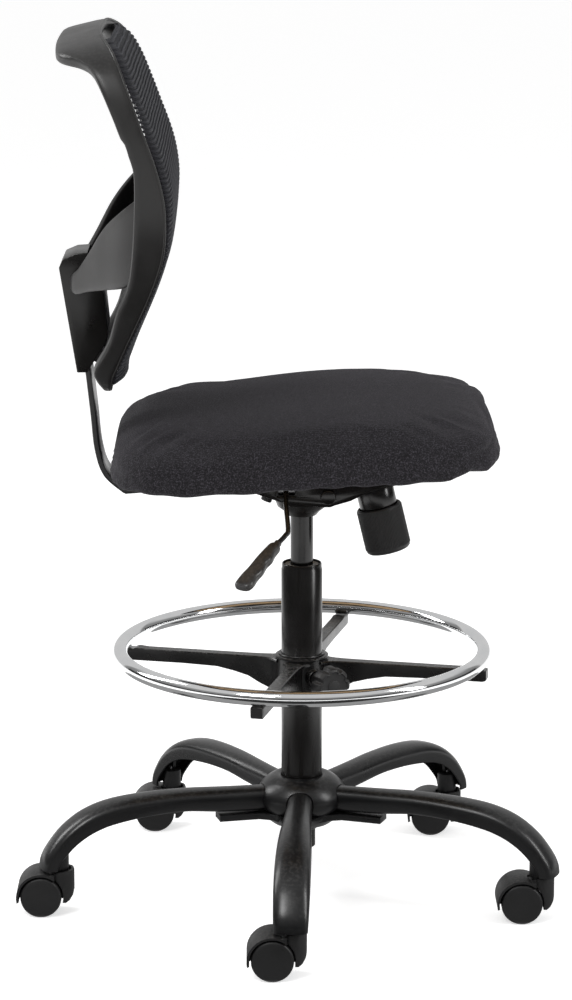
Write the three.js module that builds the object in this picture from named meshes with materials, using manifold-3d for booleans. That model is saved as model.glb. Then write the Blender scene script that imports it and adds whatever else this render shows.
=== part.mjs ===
// Drafting chair: five-leg base on casters, gas lift, foot ring, tilt mechanism, padded seat, mesh back.
// Millimetres, +X to the front of the seat, +Y to the sitter's left, +Z up, floor at Z = 0.
import * as THREE from "three";
import { mergeVertices } from "three/addons/utils/BufferGeometryUtils.js";
import Module from "manifold-3d";

const wasm = await Module();
wasm.setup();

// ---- driving dimensions -------------------------------------------------
const gap = 0.3; // between pieces that touch
const running = 0.3; // round pieces that turn or slide in each other
const wide = 28; // flats round a large turned piece
const sliver = 0.01; // edges shorter than this are closed up after a cut

// base
const legCount = 5;
const baseTurn = -93; // direction of the first leg, degrees from +X
const legReach = 307; // column axis to caster stem
const legRise = 130; // middle of a leg above the floor
const legGap = 0.8; // hub to leg, which meet at a weld
const hubRadius = 56;
const hubTop = 152;
const hubBottom = 109;
const braceReach = 107;
const braceThick = 7.5;
const socketRadius = 11;
const socketBottom = 54;
const socketTop = 82;

// casters
const wheelRadius = 25;
const wheelWide = 18;
const wheelInner = 6.5; // inner face from the caster's middle
const trail = 21.7; // stem to axle
const hoodGap = 2.2;
const hoodThick = 2.8;
const stemRadius = 5.5;
const stemHousing = 18.5;
const casterTop = 57;
const axleRadius = 3;

// column and gas lift
const tubeRadius = 25;
const tubeWall = 2;
const tubeTop = 420;
const tubeFoot = 59;
const footRadius = 17;
const cylinderRadius = 13.75;
const cylinderFoot = 78;
const taperStart = 500;
const cylinderTop = 527;
const rodRadius = 5;
const liftTravel = 240;
const buttonRadius = 4;
const buttonTop = 537;

// foot ring
const ringRadius = 222.7;
const ringTube = 9.5;
const ringHeight = 309.2;
const spokeCount = 4;
const spokeTurn = -14;
const spokeWide = 16;
const collarTop = 305;
const collarBottom = 256;
const sleeveWall = 1.3;
const collarWall = 3.9;
const clampTurn = -62;
const clampHeight = 282;
const clampRadius = 24;
const clampThick = 21;
const clampReach = 62; // column axis to the back of the knob

// tilt mechanism
const pinX = 31;
const pinZ = 512;
const pinRadius = 6;
const housingHalf = 46;
const sheet = 3; // pressed steel
const bossWall = 5.25;
const bossRadius = cylinderRadius + bossWall;
const bossBottom = 480;
const plateHalf = 50;
const boltLean = 13.4; // degrees, foot of the tension bolt leans to the front
const knobRimX = 93;
const knobRimZ = 491.5;
const knobRadius = 28.2;
const knobLong = 58;
const cupRadius = 23;
const cupTop = 28; // along the bolt from the knob's rim
const boltRadius = 5;
const springRadius = 15.5;
const springWire = 4.4;
const springTurns = 5;
const leverRadius = 3;
const gripLong = 80;

// seat
const seatSlope = 4; // degrees, front edge up
const seatBase = 562; // underside of the board above the column axis
const boardThick = 12;
const boardInset = 16;
const seatLong = 458;
const seatWide = 476;
const seatOffset = 3; // middle of the seat in front of the column
const seatThick = 66.5;

// back
const barWide = 60;
const barThick = 8;
const bracketHalf = 38;
const railThick = 15;
const armThick = 9;
const meshThick = 2.4;
const meshGap = 0.4;

// ---- helpers ------------------------------------------------------------
const deg = THREE.MathUtils.degToRad;
const chair = new THREE.Group();

function finish(color, roughness, metalness) {
  return new THREE.MeshStandardMaterial({ color, roughness, metalness });
}

const blackPaint = () => finish(0x161616, 0.38, 0.4);
const blackPlastic = () => finish(0x1c1c1e, 0.55, 0);
const greyPlastic = () => finish(0x38383b, 0.6, 0);
const darkSteel = () => finish(0x23211f, 0.3, 0.6);
const brightSteel = () => finish(0xb9bcc0, 0.25, 1);

// A closed geometry as a solid that can be joined and cut.
function solid(geometry) {
  const bare = geometry.index ? geometry.toNonIndexed() : geometry.clone();
  bare.deleteAttribute("normal");
  bare.deleteAttribute("uv");
  const merged = mergeVertices(bare, 1e-4);
  const vertProperties = new Float32Array(merged.attributes.position.array);
  const triVerts = new Uint32Array(merged.index.array);
  return new wasm.Manifold(new wasm.Mesh({ numProp: 3, vertProperties, triVerts }));
}

function geometryOf(made) {
  const { vertProperties, triVerts } = made.asOriginal().simplify(sliver).getMesh();
  const geometry = new THREE.BufferGeometry();
  geometry.setAttribute("position", new THREE.BufferAttribute(vertProperties, 3));
  geometry.setIndex(new THREE.BufferAttribute(triVerts, 1));
  const flat = geometry.toNonIndexed();
  flat.computeVertexNormals();
  return flat;
}

function add(group, name, shape, material) {
  const geometry = shape.isBufferGeometry ? shape : geometryOf(shape);
  const mesh = new THREE.Mesh(geometry, material);
  mesh.name = name;
  group.add(mesh);
  return mesh;
}

function groupAt(x, y, z, parent = chair) {
  const group = new THREE.Group();
  group.position.set(x, y, z);
  parent.add(group);
  return group;
}

// A profile of [radius, height] points turned about Z; it runs up the outside.
function turned(profile, sides = 24) {
  const points = profile.map(([r, z]) => new THREE.Vector2(r, z));
  const last = points[points.length - 1];
  const closed = points[0].x < 1e-6 && last.x < 1e-6;
  if (!closed) points.push(points[0].clone());
  return new THREE.LatheGeometry(points, sides).rotateX(Math.PI / 2);
}

function cylinder(radius, low, high, sides = 24) {
  return turned([[0, low], [radius, low], [radius, high], [0, high]], sides);
}

function outline(points) {
  return new THREE.Shape(points.map(([x, y]) => new THREE.Vector2(x, y)));
}

// A side view, [x, z] points counter-clockwise, given a width from y = low to y = high.
function sidePlate(points, low, high) {
  const geometry = new THREE.ExtrudeGeometry(outline(points), { depth: high - low, bevelEnabled: false });
  return geometry.rotateX(Math.PI / 2).translate(0, high, 0);
}

function plan(shape, low, high) {
  const geometry = new THREE.ExtrudeGeometry(shape, { depth: high - low, bevelEnabled: false, curveSegments: 6 });
  return geometry.translate(0, 0, low);
}

function box(x0, x1, y0, y1, z0, z1) {
  const geometry = new THREE.BoxGeometry(x1 - x0, y1 - y0, z1 - z0);
  return geometry.translate((x0 + x1) / 2, (y0 + y1) / 2, (z0 + z1) / 2);
}

// Rings of points, all of one count, skinned into a closed body; a looped one has no ends.
function skin(rings, looped = false) {
  const count = rings[0].length;
  const position = [];
  const tri = (a, b, c) => position.push(...a, ...b, ...c);
  const spans = looped ? rings.length : rings.length - 1;
  for (let i = 0; i < spans; i++) {
    const here = rings[i];
    const next = rings[(i + 1) % rings.length];
    for (let j = 0; j < count; j++) {
      const k = (j + 1) % count;
      tri(here[j], here[k], next[k]);
      tri(here[j], next[k], next[j]);
    }
  }
  if (!looped) {
    const first = rings[0];
    const last = rings[rings.length - 1];
    for (let j = 1; j < count - 1; j++) {
      tri(first[0], first[j + 1], first[j]);
      tri(last[0], last[j], last[j + 1]);
    }
  }
  if (signedVolume(position) < 0) {
    for (let i = 0; i < position.length; i += 9) {
      const second = position.slice(i + 3, i + 6);
      position.splice(i + 3, 3, ...position.slice(i + 6, i + 9));
      position.splice(i + 6, 3, ...second);
    }
  }
  const geometry = new THREE.BufferGeometry();
  geometry.setAttribute("position", new THREE.Float32BufferAttribute(position, 3));
  geometry.computeVertexNormals();
  return geometry;
}

function signedVolume(position) {
  const corner = (i) => new THREE.Vector3(...position.slice(i, i + 3));
  let six = 0;
  for (let i = 0; i < position.length; i += 9) six += corner(i).dot(corner(i + 3).cross(corner(i + 6)));
  return six / 6;
}

// A rounded box section: half sizes a and b, count points, counter-clockwise.
function rounded(a, b, count, power = 4) {
  const points = [];
  for (let i = 0; i < count; i++) {
    const t = ((i + 0.5) / count) * Math.PI * 2;
    const c = Math.cos(t);
    const s = Math.sin(t);
    const r = (Math.abs(c) ** power + Math.abs(s) ** power) ** (-1 / power);
    points.push([a * r * c, b * r * s]);
  }
  return points;
}

function tube(points, radius, steps, sides = 8) {
  const path = new THREE.CatmullRomCurve3(points.map((p) => new THREE.Vector3(...p)), false, "centripetal");
  const section = outline(rounded(radius, radius, sides, 2));
  return new THREE.ExtrudeGeometry(section, { steps, extrudePath: path, bevelEnabled: false });
}

function smooth(points, steps) {
  const curve = new THREE.SplineCurve(points.map(([x, y]) => new THREE.Vector2(x, y)));
  return curve.getPoints(steps).map((p) => [p.x, p.y]);
}

// The value of a [position, value] list at a position, with straight lines between.
function along(list, at) {
  let i = 1;
  while (i < list.length - 1 && list[i][0] < at) i++;
  const [p, a] = list[i - 1];
  const [q, b] = list[i];
  return a + (b - a) * THREE.MathUtils.clamp((at - p) / (q - p), 0, 1);
}

// ---- base ---------------------------------------------------------------
const hubProfile = (grow) => [
  [hubRadius - 6 + grow, hubBottom - grow],
  [hubRadius + grow, hubBottom + 7],
  [hubRadius + grow, hubBottom + 16],
  [hubRadius - 4 + grow, hubBottom + 26],
  [hubRadius - 13 + grow, hubTop - 9 + grow],
  [tubeRadius + 9 + grow, hubTop - 2 + grow],
  [tubeRadius + 5 + grow, hubTop + grow],
];

function makeHub() {
  const bore = [[tubeRadius + gap, hubTop], [tubeRadius + gap, hubBottom]];
  return turned([...hubProfile(0), ...bore], wide);
}

// Leg stations: distance out, height, width, thickness, slope in degrees.
const legStations = [
  [hubRadius - 14, legRise - 5, 31, 30, 1],
  [104, legRise - 3, 33, 29.5, 3],
  [150, legRise, 36, 27, 1],
  [200, legRise - 1, 40, 26, -4],
  [legReach - 66, legRise - 5, 42, 25, -14],
  [legReach - 36, legRise - 16, 43, 23, -31],
  [legReach - 12, legRise - 32, 43, 21, -44],
  [legReach + 6, legRise - 52, 42, 19, -60],
  [legReach + 13.5, legRise - 64, 41, 18.5, -82],
  [legReach + 14, legRise - 71, 41, 18, -90],
];

function makeLeg() {
  const rings = legStations.map(([x, z, broad, thick, slope]) => {
    const c = Math.cos(deg(slope));
    const s = Math.sin(deg(slope));
    return rounded(broad / 2, thick / 2, 10, 3).map(([y, n]) => [x - n * s, y, z + n * c]);
  });
  const hub = solid(turned([[0, hubBottom - 30], ...hubProfile(legGap), [0, hubTop + legGap]], wide));
  const socket = solid(cylinder(socketRadius, socketBottom, socketTop, 12).translate(legReach, 0, 0));
  const web = solid(box(legReach - 4, legReach + 14, -7, 7, socketBottom + 10, legRise - 40));
  const bore = solid(cylinder(stemRadius + gap, socketBottom - 1, socketTop - 3, 12).translate(legReach, 0, 0));
  return solid(skin(rings)).add(web).add(socket).subtract(bore).subtract(hub);
}

function makeBrace() {
  const shape = new THREE.Shape();
  const waist = 46;
  const halfArm = 14;
  for (let i = 0; i < legCount; i++) {
    const a = deg(baseTurn + (360 / legCount) * i);
    const between = a + Math.PI / legCount;
    const put = (r, side, first) => {
      const x = r * Math.cos(a) - side * Math.sin(a);
      const y = r * Math.sin(a) + side * Math.cos(a);
      if (first) shape.moveTo(x, y);
      else shape.lineTo(x, y);
    };
    put(braceReach, -halfArm + 2, i === 0);
    put(braceReach, halfArm - 2, false);
    put(waist + 12, halfArm, false);
    shape.lineTo(waist * Math.cos(between), waist * Math.sin(between));
    const nextA = a + (2 * Math.PI) / legCount;
    const x = (waist + 12) * Math.cos(nextA) + halfArm * Math.sin(nextA);
    const y = (waist + 12) * Math.sin(nextA) - halfArm * Math.cos(nextA);
    if (i < legCount - 1) shape.lineTo(x, y);
  }
  const top = hubBottom - gap;
  const low = top - braceThick;
  const cup = solid(turned([[0, low - 10], [waist - 10, low - 10], [waist + 3, low], [0, low]], wide));
  const bore = solid(cylinder(tubeRadius + gap, low - 20, top + 5));
  const tie = solid(cylinder(waist, low - 0.5, low + 1, wide));
  return solid(plan(shape, low, top)).add(cup).add(tie).subtract(bore);
}

const base = groupAt(0, 0, 0);
add(base, "base_hub", makeHub(), blackPaint());
add(base, "base_brace", makeBrace(), blackPaint());

// ---- casters ------------------------------------------------------------
// Drawn about the stem's axis, trailing to -X; Z is the height above the floor.
const hoodOut = wheelRadius + hoodGap + hoodThick;
const hoodIn = wheelRadius + hoodGap;
const casterHalf = wheelInner + wheelWide;

function makeCasterBody() {
  const wheelAt = [-trail, wheelRadius];
  const band = new THREE.Shape();
  band.absarc(...wheelAt, hoodOut, deg(20), deg(192), false);
  band.absarc(...wheelAt, hoodIn, deg(192), deg(20), true);
  const hood = new THREE.ExtrudeGeometry(band, { depth: 2 * casterHalf, bevelEnabled: false, curveSegments: 5 });
  hood.rotateX(Math.PI / 2).translate(0, casterHalf, 0);
  const webShape = [
    [-trail - hoodOut + 1.5, wheelRadius],
    [-trail - 14, wheelRadius - 16],
    [-trail + 8, wheelRadius - 18],
    [4, wheelRadius - 9],
    [stemHousing - 3, wheelRadius + 8],
    [stemHousing - 3, casterTop - 8],
    [-trail + 10, wheelRadius + hoodIn + 0.5],
    [-trail - 12, wheelRadius + hoodIn - 3],
  ];
  const web = solid(sidePlate(webShape, -(wheelInner - 1), wheelInner - 1));
  const cup = turned([[0, 16], [9, 16], [15, 22], [stemHousing, 34], [stemHousing, casterTop], [0, casterTop]], 16);
  const inner = wheelInner - 1;
  const wheelRoom = (hand) => {
    const shape = cylinder(hoodIn - 0.5, inner, casterHalf + 20, 20).rotateX((-hand * Math.PI) / 2);
    return solid(shape.translate(-trail, 0, wheelRadius));
  };
  const housing = solid(cup).subtract(wheelRoom(1)).subtract(wheelRoom(-1));
  const recess = solid(cylinder(socketRadius + 4.5, casterTop - 6, casterTop + 2, 12));
  const stemHole = solid(cylinder(stemRadius + running, 24, casterTop, 12));
  const axleHole = cylinder(axleRadius + gap, -20, 20, 12).rotateX(Math.PI / 2);
  axleHole.translate(-trail, 0, wheelRadius);
  return solid(hood).add(web).add(housing).subtract(recess).subtract(stemHole).subtract(solid(axleHole));
}

function makeWheel(side) {
  const outer = wheelInner + wheelWide;
  const geometry = turned([
    [0, outer - 4],
    [axleRadius + running, outer - 4],
    [axleRadius + running, wheelInner],
    [wheelRadius - 1, wheelInner],
    [wheelRadius, wheelInner + 2],
    [wheelRadius, outer - 5],
    [wheelRadius - 3, outer - 1.5],
    [0, outer],
  ], 16);
  return geometry.rotateX(side > 0 ? -Math.PI / 2 : Math.PI / 2);
}

for (let i = 0; i < legCount; i++) {
  const turn = deg(baseTurn + (360 / legCount) * i);
  const n = i + 1;
  const leg = groupAt(0, 0, 0);
  leg.rotation.z = turn;
  add(leg, `leg_${n}`, makeLeg(), blackPaint());

  const caster = groupAt(legReach * Math.cos(turn), legReach * Math.sin(turn), 0);
  caster.name = `caster_${n}`;
  const stem = turned([
    [0, 27],
    [stemRadius, 27],
    [stemRadius, casterTop - 6 + gap],
    [stemRadius + 3.5, casterTop - 6 + gap],
    [stemRadius + 3.5, socketBottom - gap],
    [stemRadius, socketBottom - gap],
    [stemRadius, socketTop - 5],
    [0, socketTop - 4],
  ], 12);
  add(caster, `caster_stem_${n}`, stem, brightSteel());
  add(caster, `caster_body_${n}`, makeCasterBody(), blackPlastic());
  const axleHalf = wheelInner + wheelWide - 4 - gap;
  const axle = cylinder(axleRadius, -axleHalf, axleHalf, 12).rotateX(Math.PI / 2);
  add(caster, `caster_axle_${n}`, axle.translate(-trail, 0, wheelRadius), brightSteel());
  const left = add(caster, `wheel_${n}_left`, makeWheel(1), blackPlastic());
  const right = add(caster, `wheel_${n}_right`, makeWheel(-1), blackPlastic());
  left.position.set(-trail, 0, wheelRadius);
  right.position.set(-trail, 0, wheelRadius);
}

// ---- column and gas lift ------------------------------------------------
const tubeInner = tubeRadius - tubeWall;
const bushBottom = tubeTop - 90;

add(base, "column_tube", turned([
  [rodRadius + running, tubeFoot],
  [footRadius, tubeFoot],
  [footRadius, tubeFoot + 22],
  [tubeRadius, tubeFoot + 30],
  [tubeRadius, tubeTop - 1.5],
  [tubeRadius - 0.7, tubeTop],
  [tubeInner, tubeTop],
  [tubeInner, tubeFoot + 33],
  [cylinderRadius + 0.8, tubeFoot + 26],
  [cylinderRadius + 0.8, tubeFoot + 3],
  [rodRadius + running, tubeFoot + 3],
], wide), darkSteel());

add(base, "column_bush", turned([
  [cylinderRadius + running, bushBottom],
  [tubeInner - gap, bushBottom],
  [tubeInner - gap, tubeTop - 1],
  [cylinderRadius + running, tubeTop - 1],
]), greyPlastic());

const pistonLow = cylinderFoot + 14 + liftTravel;
const lift = groupAt(0, 0, 0);
add(lift, "piston_rod", turned([
  [0, tubeFoot - 6],
  [rodRadius + 2.5, tubeFoot - 5],
  [rodRadius + 2.5, tubeFoot - 1],
  [rodRadius, tubeFoot - 1],
  [rodRadius, pistonLow],
  [cylinderRadius - 2.6, pistonLow],
  [cylinderRadius - 2.6, pistonLow + 12],
  [0, pistonLow + 12],
], 24), brightSteel());

add(lift, "thrust_bearing", turned([
  [rodRadius + running, tubeFoot + 3 + gap],
  [cylinderRadius - 0.5, tubeFoot + 3 + gap],
  [cylinderRadius - 0.5, tubeFoot + 9],
  [rodRadius + running, tubeFoot + 9],
], 24), brightSteel());

add(lift, "gas_cylinder", turned([
  [rodRadius + running, cylinderFoot],
  [cylinderRadius, cylinderFoot],
  [cylinderRadius, taperStart],
  [cylinderRadius - 1, cylinderTop],
  [buttonRadius + running, cylinderTop],
  [buttonRadius + running, taperStart - 2],
  [cylinderRadius - 2.2, taperStart - 2],
  [cylinderRadius - 2.2, cylinderFoot + 12],
  [rodRadius + running, cylinderFoot + 12],
]), darkSteel());

add(lift, "release_button", cylinder(buttonRadius, taperStart + 5, buttonTop, 20), brightSteel());

// ---- foot ring ----------------------------------------------------------
const sleeveOut = tubeRadius + running + sleeveWall;
const collarIn = sleeveOut + running;
const collarOut = collarIn + collarWall;
const foot = groupAt(0, 0, 0);

function makeSleeve() {
  const ring = solid(turned([
    [tubeRadius + running, collarBottom - 2],
    [sleeveOut, collarBottom - 2],
    [sleeveOut, collarTop + 2],
    [tubeRadius + running, collarTop + 2],
  ], wide));
  const split = box(tubeRadius - 5, sleeveOut + 5, -1.5, 1.5, collarBottom - 5, collarTop + 5);
  return ring.subtract(solid(split.rotateZ(deg(clampTurn + 180))));
}

function makeSpider() {
  const under = ringHeight - ringTube - 0.5;
  const end = ringRadius + ringTube - 1;
  const spoke = [
    [collarIn + 1, collarBottom + 3],
    [collarOut + 10, collarBottom + 5],
    [collarOut + 32, collarBottom + 18],
    [collarOut + 75, under - 14],
    [end - 3, under - 14],
    [end, under - 11],
    [end, under],
    [ringRadius - ringTube - 3, under],
    [ringRadius - ringTube - 7, under + 2.5],
    [collarIn + 1, collarTop - 6],
  ];
  let made = solid(turned([
    [collarIn, collarBottom],
    [collarOut, collarBottom],
    [collarOut, collarTop],
    [collarIn, collarTop],
  ], wide));
  for (let i = 0; i < spokeCount; i++) {
    const arm = sidePlate(spoke, -spokeWide / 2, spokeWide / 2);
    arm.rotateZ(deg(spokeTurn + (360 / spokeCount) * i));
    made = made.add(solid(arm));
  }
  const boss = clampPiece(cylinder(11, collarIn + 1, collarOut + 8, 20));
  const hole = clampPiece(cylinder(4 + running, 0, collarOut + 20, 16));
  return made.add(solid(boss)).subtract(solid(hole)).subtract(solid(cylinder(collarIn, 0, 500, wide)));
}

// A piece drawn along Z, laid along the clamp screw's direction at its height.
function clampPiece(geometry) {
  return geometry.rotateY(Math.PI / 2).rotateZ(deg(clampTurn)).translate(0, 0, clampHeight);
}

function makeClampKnob() {
  const lobes = 7;
  const shape = [];
  for (let i = 0; i < lobes * 6; i++) {
    const t = (i / (lobes * 6)) * Math.PI * 2;
    const r = clampRadius - 2 + 2 * Math.cos(lobes * t);
    shape.push([r * Math.cos(t), r * Math.sin(t)]);
  }
  const head = solid(plan(outline(shape), clampReach, clampReach + clampThick));
  const neck = solid(turned([
    [0, sleeveOut + gap],
    [4, sleeveOut + gap],
    [4, collarOut + 9],
    [9, collarOut + 9],
    [14, clampReach + 1],
    [0, clampReach + 1],
  ], 20));
  return clampPiece(geometryOf(head.add(neck)));
}

add(foot, "ring_sleeve", makeSleeve(), greyPlastic());
add(foot, "ring_spider", makeSpider(), blackPaint());
const ring = new THREE.TorusGeometry(ringRadius, ringTube, 8, 48);
add(foot, "foot_ring", ring.translate(0, 0, ringHeight), finish(0xdadde0, 0.08, 1));
add(foot, "ring_clamp_knob", makeClampKnob(), greyPlastic());

// ---- tilt mechanism -----------------------------------------------------
const slope = Math.tan(deg(seatSlope));
const baseLine = (x) => seatBase + slope * x; // underside of the seat board
const mechanism = groupAt(0, 0, 0);

// Along the tension bolt: s up from the knob's rim, in the bolt's own frame.
const boltFrame = groupAt(knobRimX, 0, knobRimZ, mechanism);
boltFrame.rotation.y = -deg(boltLean);
boltFrame.name = "bolt_frame";

function onBolt(geometry) {
  return geometry.rotateY(-deg(boltLean)).translate(knobRimX, 0, knobRimZ);
}

function makeHousing() {
  const rise = Math.tan(deg(boltLean));
  const seatX = knobRimX - (cupTop + gap) * Math.sin(deg(boltLean));
  const seatZ = knobRimZ + (cupTop + gap) * Math.cos(deg(boltLean));
  const tongue = (x) => seatZ + (x - seatX) * rise;
  const nose = knobRimX + 19;
  const floor = bossBottom + 18.5;
  const side = [
    [-46, 514], [-24, 505], [-14, floor], [34, floor], [52, floor + 8], [knobRimX - 29, tongue(knobRimX - 29)],
    [nose, tongue(nose)], [nose, 545], [60, 537], [-12, 530], [-46, 528],
  ];
  const hollow = [
    [-43, 516.5], [-23, 508], [-13, floor + sheet], [33, floor + sheet], [51, floor + 8 + sheet],
    [knobRimX - 29, tongue(knobRimX - 29) + sheet], [nose - sheet, tongue(nose - sheet) + sheet],
    [nose - sheet, 600], [-43, 600],
  ];
  const shell = solid(sidePlate(side, -housingHalf, housingHalf));
  const inside = solid(sidePlate(hollow, -housingHalf + sheet, housingHalf - sheet));
  const boss = turned([
    [0, bossBottom], [bossRadius - 1, bossBottom], [bossRadius + 3, bossBottom + 5],
    [bossRadius + 11, bossBottom + 11], [bossRadius + 14, bossBottom + 19], [bossRadius, bossBottom + 22],
    [bossRadius, cylinderTop - 5], [0, cylinderTop - 5],
  ]);
  const bore = turned([
    [0, 0], [cylinderRadius + gap, 0], [cylinderRadius + gap, taperStart],
    [cylinderRadius - 1 + gap, cylinderTop], [cylinderRadius - 1 + gap, 600], [0, 600],
  ]);
  const pin = cylinder(pinRadius + gap, -60, 60, 20).rotateX(Math.PI / 2).translate(pinX, 0, pinZ);
  const bolt = onBolt(cylinder(boltRadius + 2.5, 0, 60, 20));
  const leverHole = box(-29, -9, -60, -30, 513, 533);
  const screw = onStop(cylinder(3 + gap, -30, 30, 12));
  return shell.subtract(inside).add(solid(boss)).subtract(solid(bore)).subtract(solid(pin))
    .subtract(solid(bolt)).subtract(solid(leverHole)).subtract(solid(screw));
}

// The stop screw stands square to the sloping rear of the housing's floor.
function onStop(geometry) {
  return geometry.rotateY(deg(22.2)).translate(-38, 0, 510.7);
}

function makeStopScrew() {
  const shank = solid(cylinder(3, -12, 6, 12));
  const head = solid(outlineRibbed(6.8, 10, 0.8, -15, -gap - 0.5));
  return onStop(geometryOf(head.add(shank)));
}

function outlineRibbed(radius, ribs, deep, low, high) {
  const shape = [];
  for (let i = 0; i < ribs * 2; i++) {
    const t = (i / (ribs * 2)) * Math.PI * 2;
    const r = radius - (i % 2) * deep;
    shape.push([r * Math.cos(t), r * Math.sin(t)]);
  }
  return plan(outline(shape), low, high);
}

add(mechanism, "mechanism_housing", makeHousing(), darkSteel());
add(mechanism, "stop_screw", makeStopScrew(), blackPlastic());

const pinShape = turned([
  [0, -plateHalf - 4],
  [pinRadius + 2.5, -plateHalf - 4],
  [pinRadius + 2.5, -plateHalf - gap],
  [pinRadius, -plateHalf - gap],
  [pinRadius, plateHalf + gap],
  [pinRadius + 2.5, plateHalf + gap],
  [pinRadius + 2.5, plateHalf + 4],
  [0, plateHalf + 4],
], 20).rotateX(Math.PI / 2).translate(pinX, 0, pinZ);
add(mechanism, "tilt_pin", pinShape, darkSteel());

const nutLow = -knobLong + 6;
const springLow = nutLow + 4 + 0.6;
const springHigh = cupTop - 3 - 0.6;

const springSteps = 8;

function springPath() {
  const points = [];
  const turns = springTurns * springSteps;
  const half = springWire / 2;
  for (let i = 0; i <= turns; i++) {
    const t = (i / springSteps) * Math.PI * 2;
    const z = THREE.MathUtils.lerp(springLow + half, springHigh - half, i / turns);
    points.push([springRadius * Math.cos(t), springRadius * Math.sin(t), z]);
  }
  return points;
}

add(boltFrame, "spring_cup", turned([
  [boltRadius + 2, cupTop - 3],
  [cupRadius - 2, cupTop - 3],
  [cupRadius - 2, -8],
  [cupRadius, -8],
  [cupRadius, cupTop],
  [boltRadius + 2, cupTop],
]), darkSteel());
add(boltFrame, "tilt_spring", tube(springPath(), springWire / 2, springTurns * springSteps, 6), brightSteel());
add(boltFrame, "tension_bolt", turned([
  [0, nutLow + 2],
  [boltRadius, nutLow + 2],
  [boltRadius, 55],
  [boltRadius + 4, 55],
  [boltRadius + 4, 61],
  [0, 61],
], 20), brightSteel());
add(boltFrame, "tension_nut", turned([
  [boltRadius + running, nutLow],
  [cupRadius - 2.5, nutLow],
  [cupRadius - 2.5, nutLow + 4],
  [boltRadius + running, nutLow + 4],
], 24), brightSteel());

function makeTensionKnob() {
  const ribbed = solid(outlineRibbed(knobRadius, 24, 0.8, -knobLong + 3, -1));
  const foot = solid(turned([[0, -knobLong], [knobRadius - 4, -knobLong], [knobRadius - 1.5, -knobLong + 3.2],
    [0, -knobLong + 3.2]]));
  const room = solid(turned([[0, nutLow - gap], [cupRadius + 1, nutLow - gap], [cupRadius + 1, 0], [0, 0]]));
  return ribbed.add(foot).subtract(room);
}

add(boltFrame, "tension_knob", makeTensionKnob(), greyPlastic());

// ---- lever --------------------------------------------------------------
const leverX = -19;
const leverZ = 523;
const gripStart = new THREE.Vector3(-32, -147, 475.5);
const gripDirection = new THREE.Vector3(-41, -57, -38).normalize();
const gripIn = gripStart.clone().addScaledVector(gripDirection, 22);
const leverSteps = 36;
const leverPath = [
  [0, 9, buttonTop + leverRadius + 1],
  [0, -6, buttonTop + leverRadius + 1],
  [-8, -22, 534],
  [-16, -36, 526],
  [leverX, -46, leverZ],
  [leverX - 1, -62, leverZ - 5],
  [leverX - 1, -85, leverZ - 14],
  [leverX + 1, -132, leverZ - 32],
  [leverX - 2, -140, leverZ - 37],
  gripStart.toArray(),
  gripIn.toArray(),
];

function makeGrip() {
  const stations = [[0, 5, 5.5], [4, 6.5, 7], [26, 7, 9.5], [48, 6, 10], [60, 6.5, 12], [gripLong - 3, 5.5, 11], [gripLong, 3, 7]];
  const side = new THREE.Vector3(0, 0, 1).cross(gripDirection).normalize();
  const up = gripDirection.clone().cross(side);
  const rings = stations.map(([s, thick, wide]) =>
    rounded(thick, wide, 12, 2.6).map(([a, b]) => {
      const p = gripStart.clone().addScaledVector(gripDirection, s);
      return p.addScaledVector(up, a).addScaledVector(side, -b).toArray();
    }));
  return solid(skin(rings)).subtract(solid(tube(leverPath, leverRadius + gap, leverSteps, 6)));
}

function makeTiltLock() {
  const plate = solid(box(-29, -1, -33, -30, 513, 541));
  return plate.subtract(solid(box(-22, -6, -40, -20, 519.5, 536)));
}

add(mechanism, "lever_rod", tube(leverPath, leverRadius, leverSteps, 6), darkSteel());
add(mechanism, "lever_grip", makeGrip(), greyPlastic());
add(mechanism, "tilt_lock", makeTiltLock(), brightSteel());

// ---- seat ---------------------------------------------------------------
function makeSeatPlate() {
  const rear = -92;
  const front = 152;
  const top = (x) => baseLine(x) - gap;
  const side = [
    [rear, 517], [-82, 521], [-68, 520.5], [-48, 513], [-24, 505], [-14, 500], [34, 500], [46, 503.5],
    [58, 507], [84, 520], [106, 527.5], [front - 6, 532.5], [front, 537], [front, top(front)], [rear, top(rear)],
  ];
  const under = (x) => top(x) - sheet;
  const hollow = [[rear - 10, 400], [front - sheet, 400], [front - sheet, under(front)], [rear - 10, under(rear - 10)]];
  const inner = plateHalf - sheet;
  const rest = (x) => barLine(x) - barThick / 2 - gap;
  const floor = [[rear, rest(rear) - 4], [-56, rest(-56) - 4], [-56, rest(-56)], [rear, rest(rear)]];
  const pin = cylinder(pinRadius + running, -60, 60, 20).rotateX(Math.PI / 2).translate(pinX, 0, pinZ);
  const leverRoom = box(-31, -7, -60, -40, 512, 541);
  return solid(sidePlate(side, -plateHalf, plateHalf)).subtract(solid(sidePlate(hollow, -inner, inner)))
    .add(solid(sidePlate(floor, -inner - 1, inner + 1))).subtract(solid(pin)).subtract(solid(leverRoom));
}

function seatOutline(inset) {
  return rounded(seatLong / 2 - inset, seatWide / 2 - inset, 28, 4.6).map(([x, y]) => [x + seatOffset, y]);
}

// Cushion stations: height above the board's underside, inset of the outline.
const cushionStations = [
  [1, 12], [6, 4], [18, 0], [32, 1.5], [44, 8], [52, 19], [58, 36], [62, 62], [65, 105], [seatThick, 160],
];

function makeCushion() {
  const rings = cushionStations.map(([z, inset]) => seatOutline(inset).map(([x, y]) => [x, y, z]));
  const room = solid(plan(outline(seatOutline(boardInset - gap)), -5, boardThick + gap));
  return solid(skin(rings)).subtract(room);
}

const seat = groupAt(0, 0, seatBase);
seat.name = "seat";
seat.rotation.y = -deg(seatSlope);

// ---- back ---------------------------------------------------------------
const barLine = (x) => baseLine(x) - 28 - barThick / 2; // middle of the bar's level part

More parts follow.
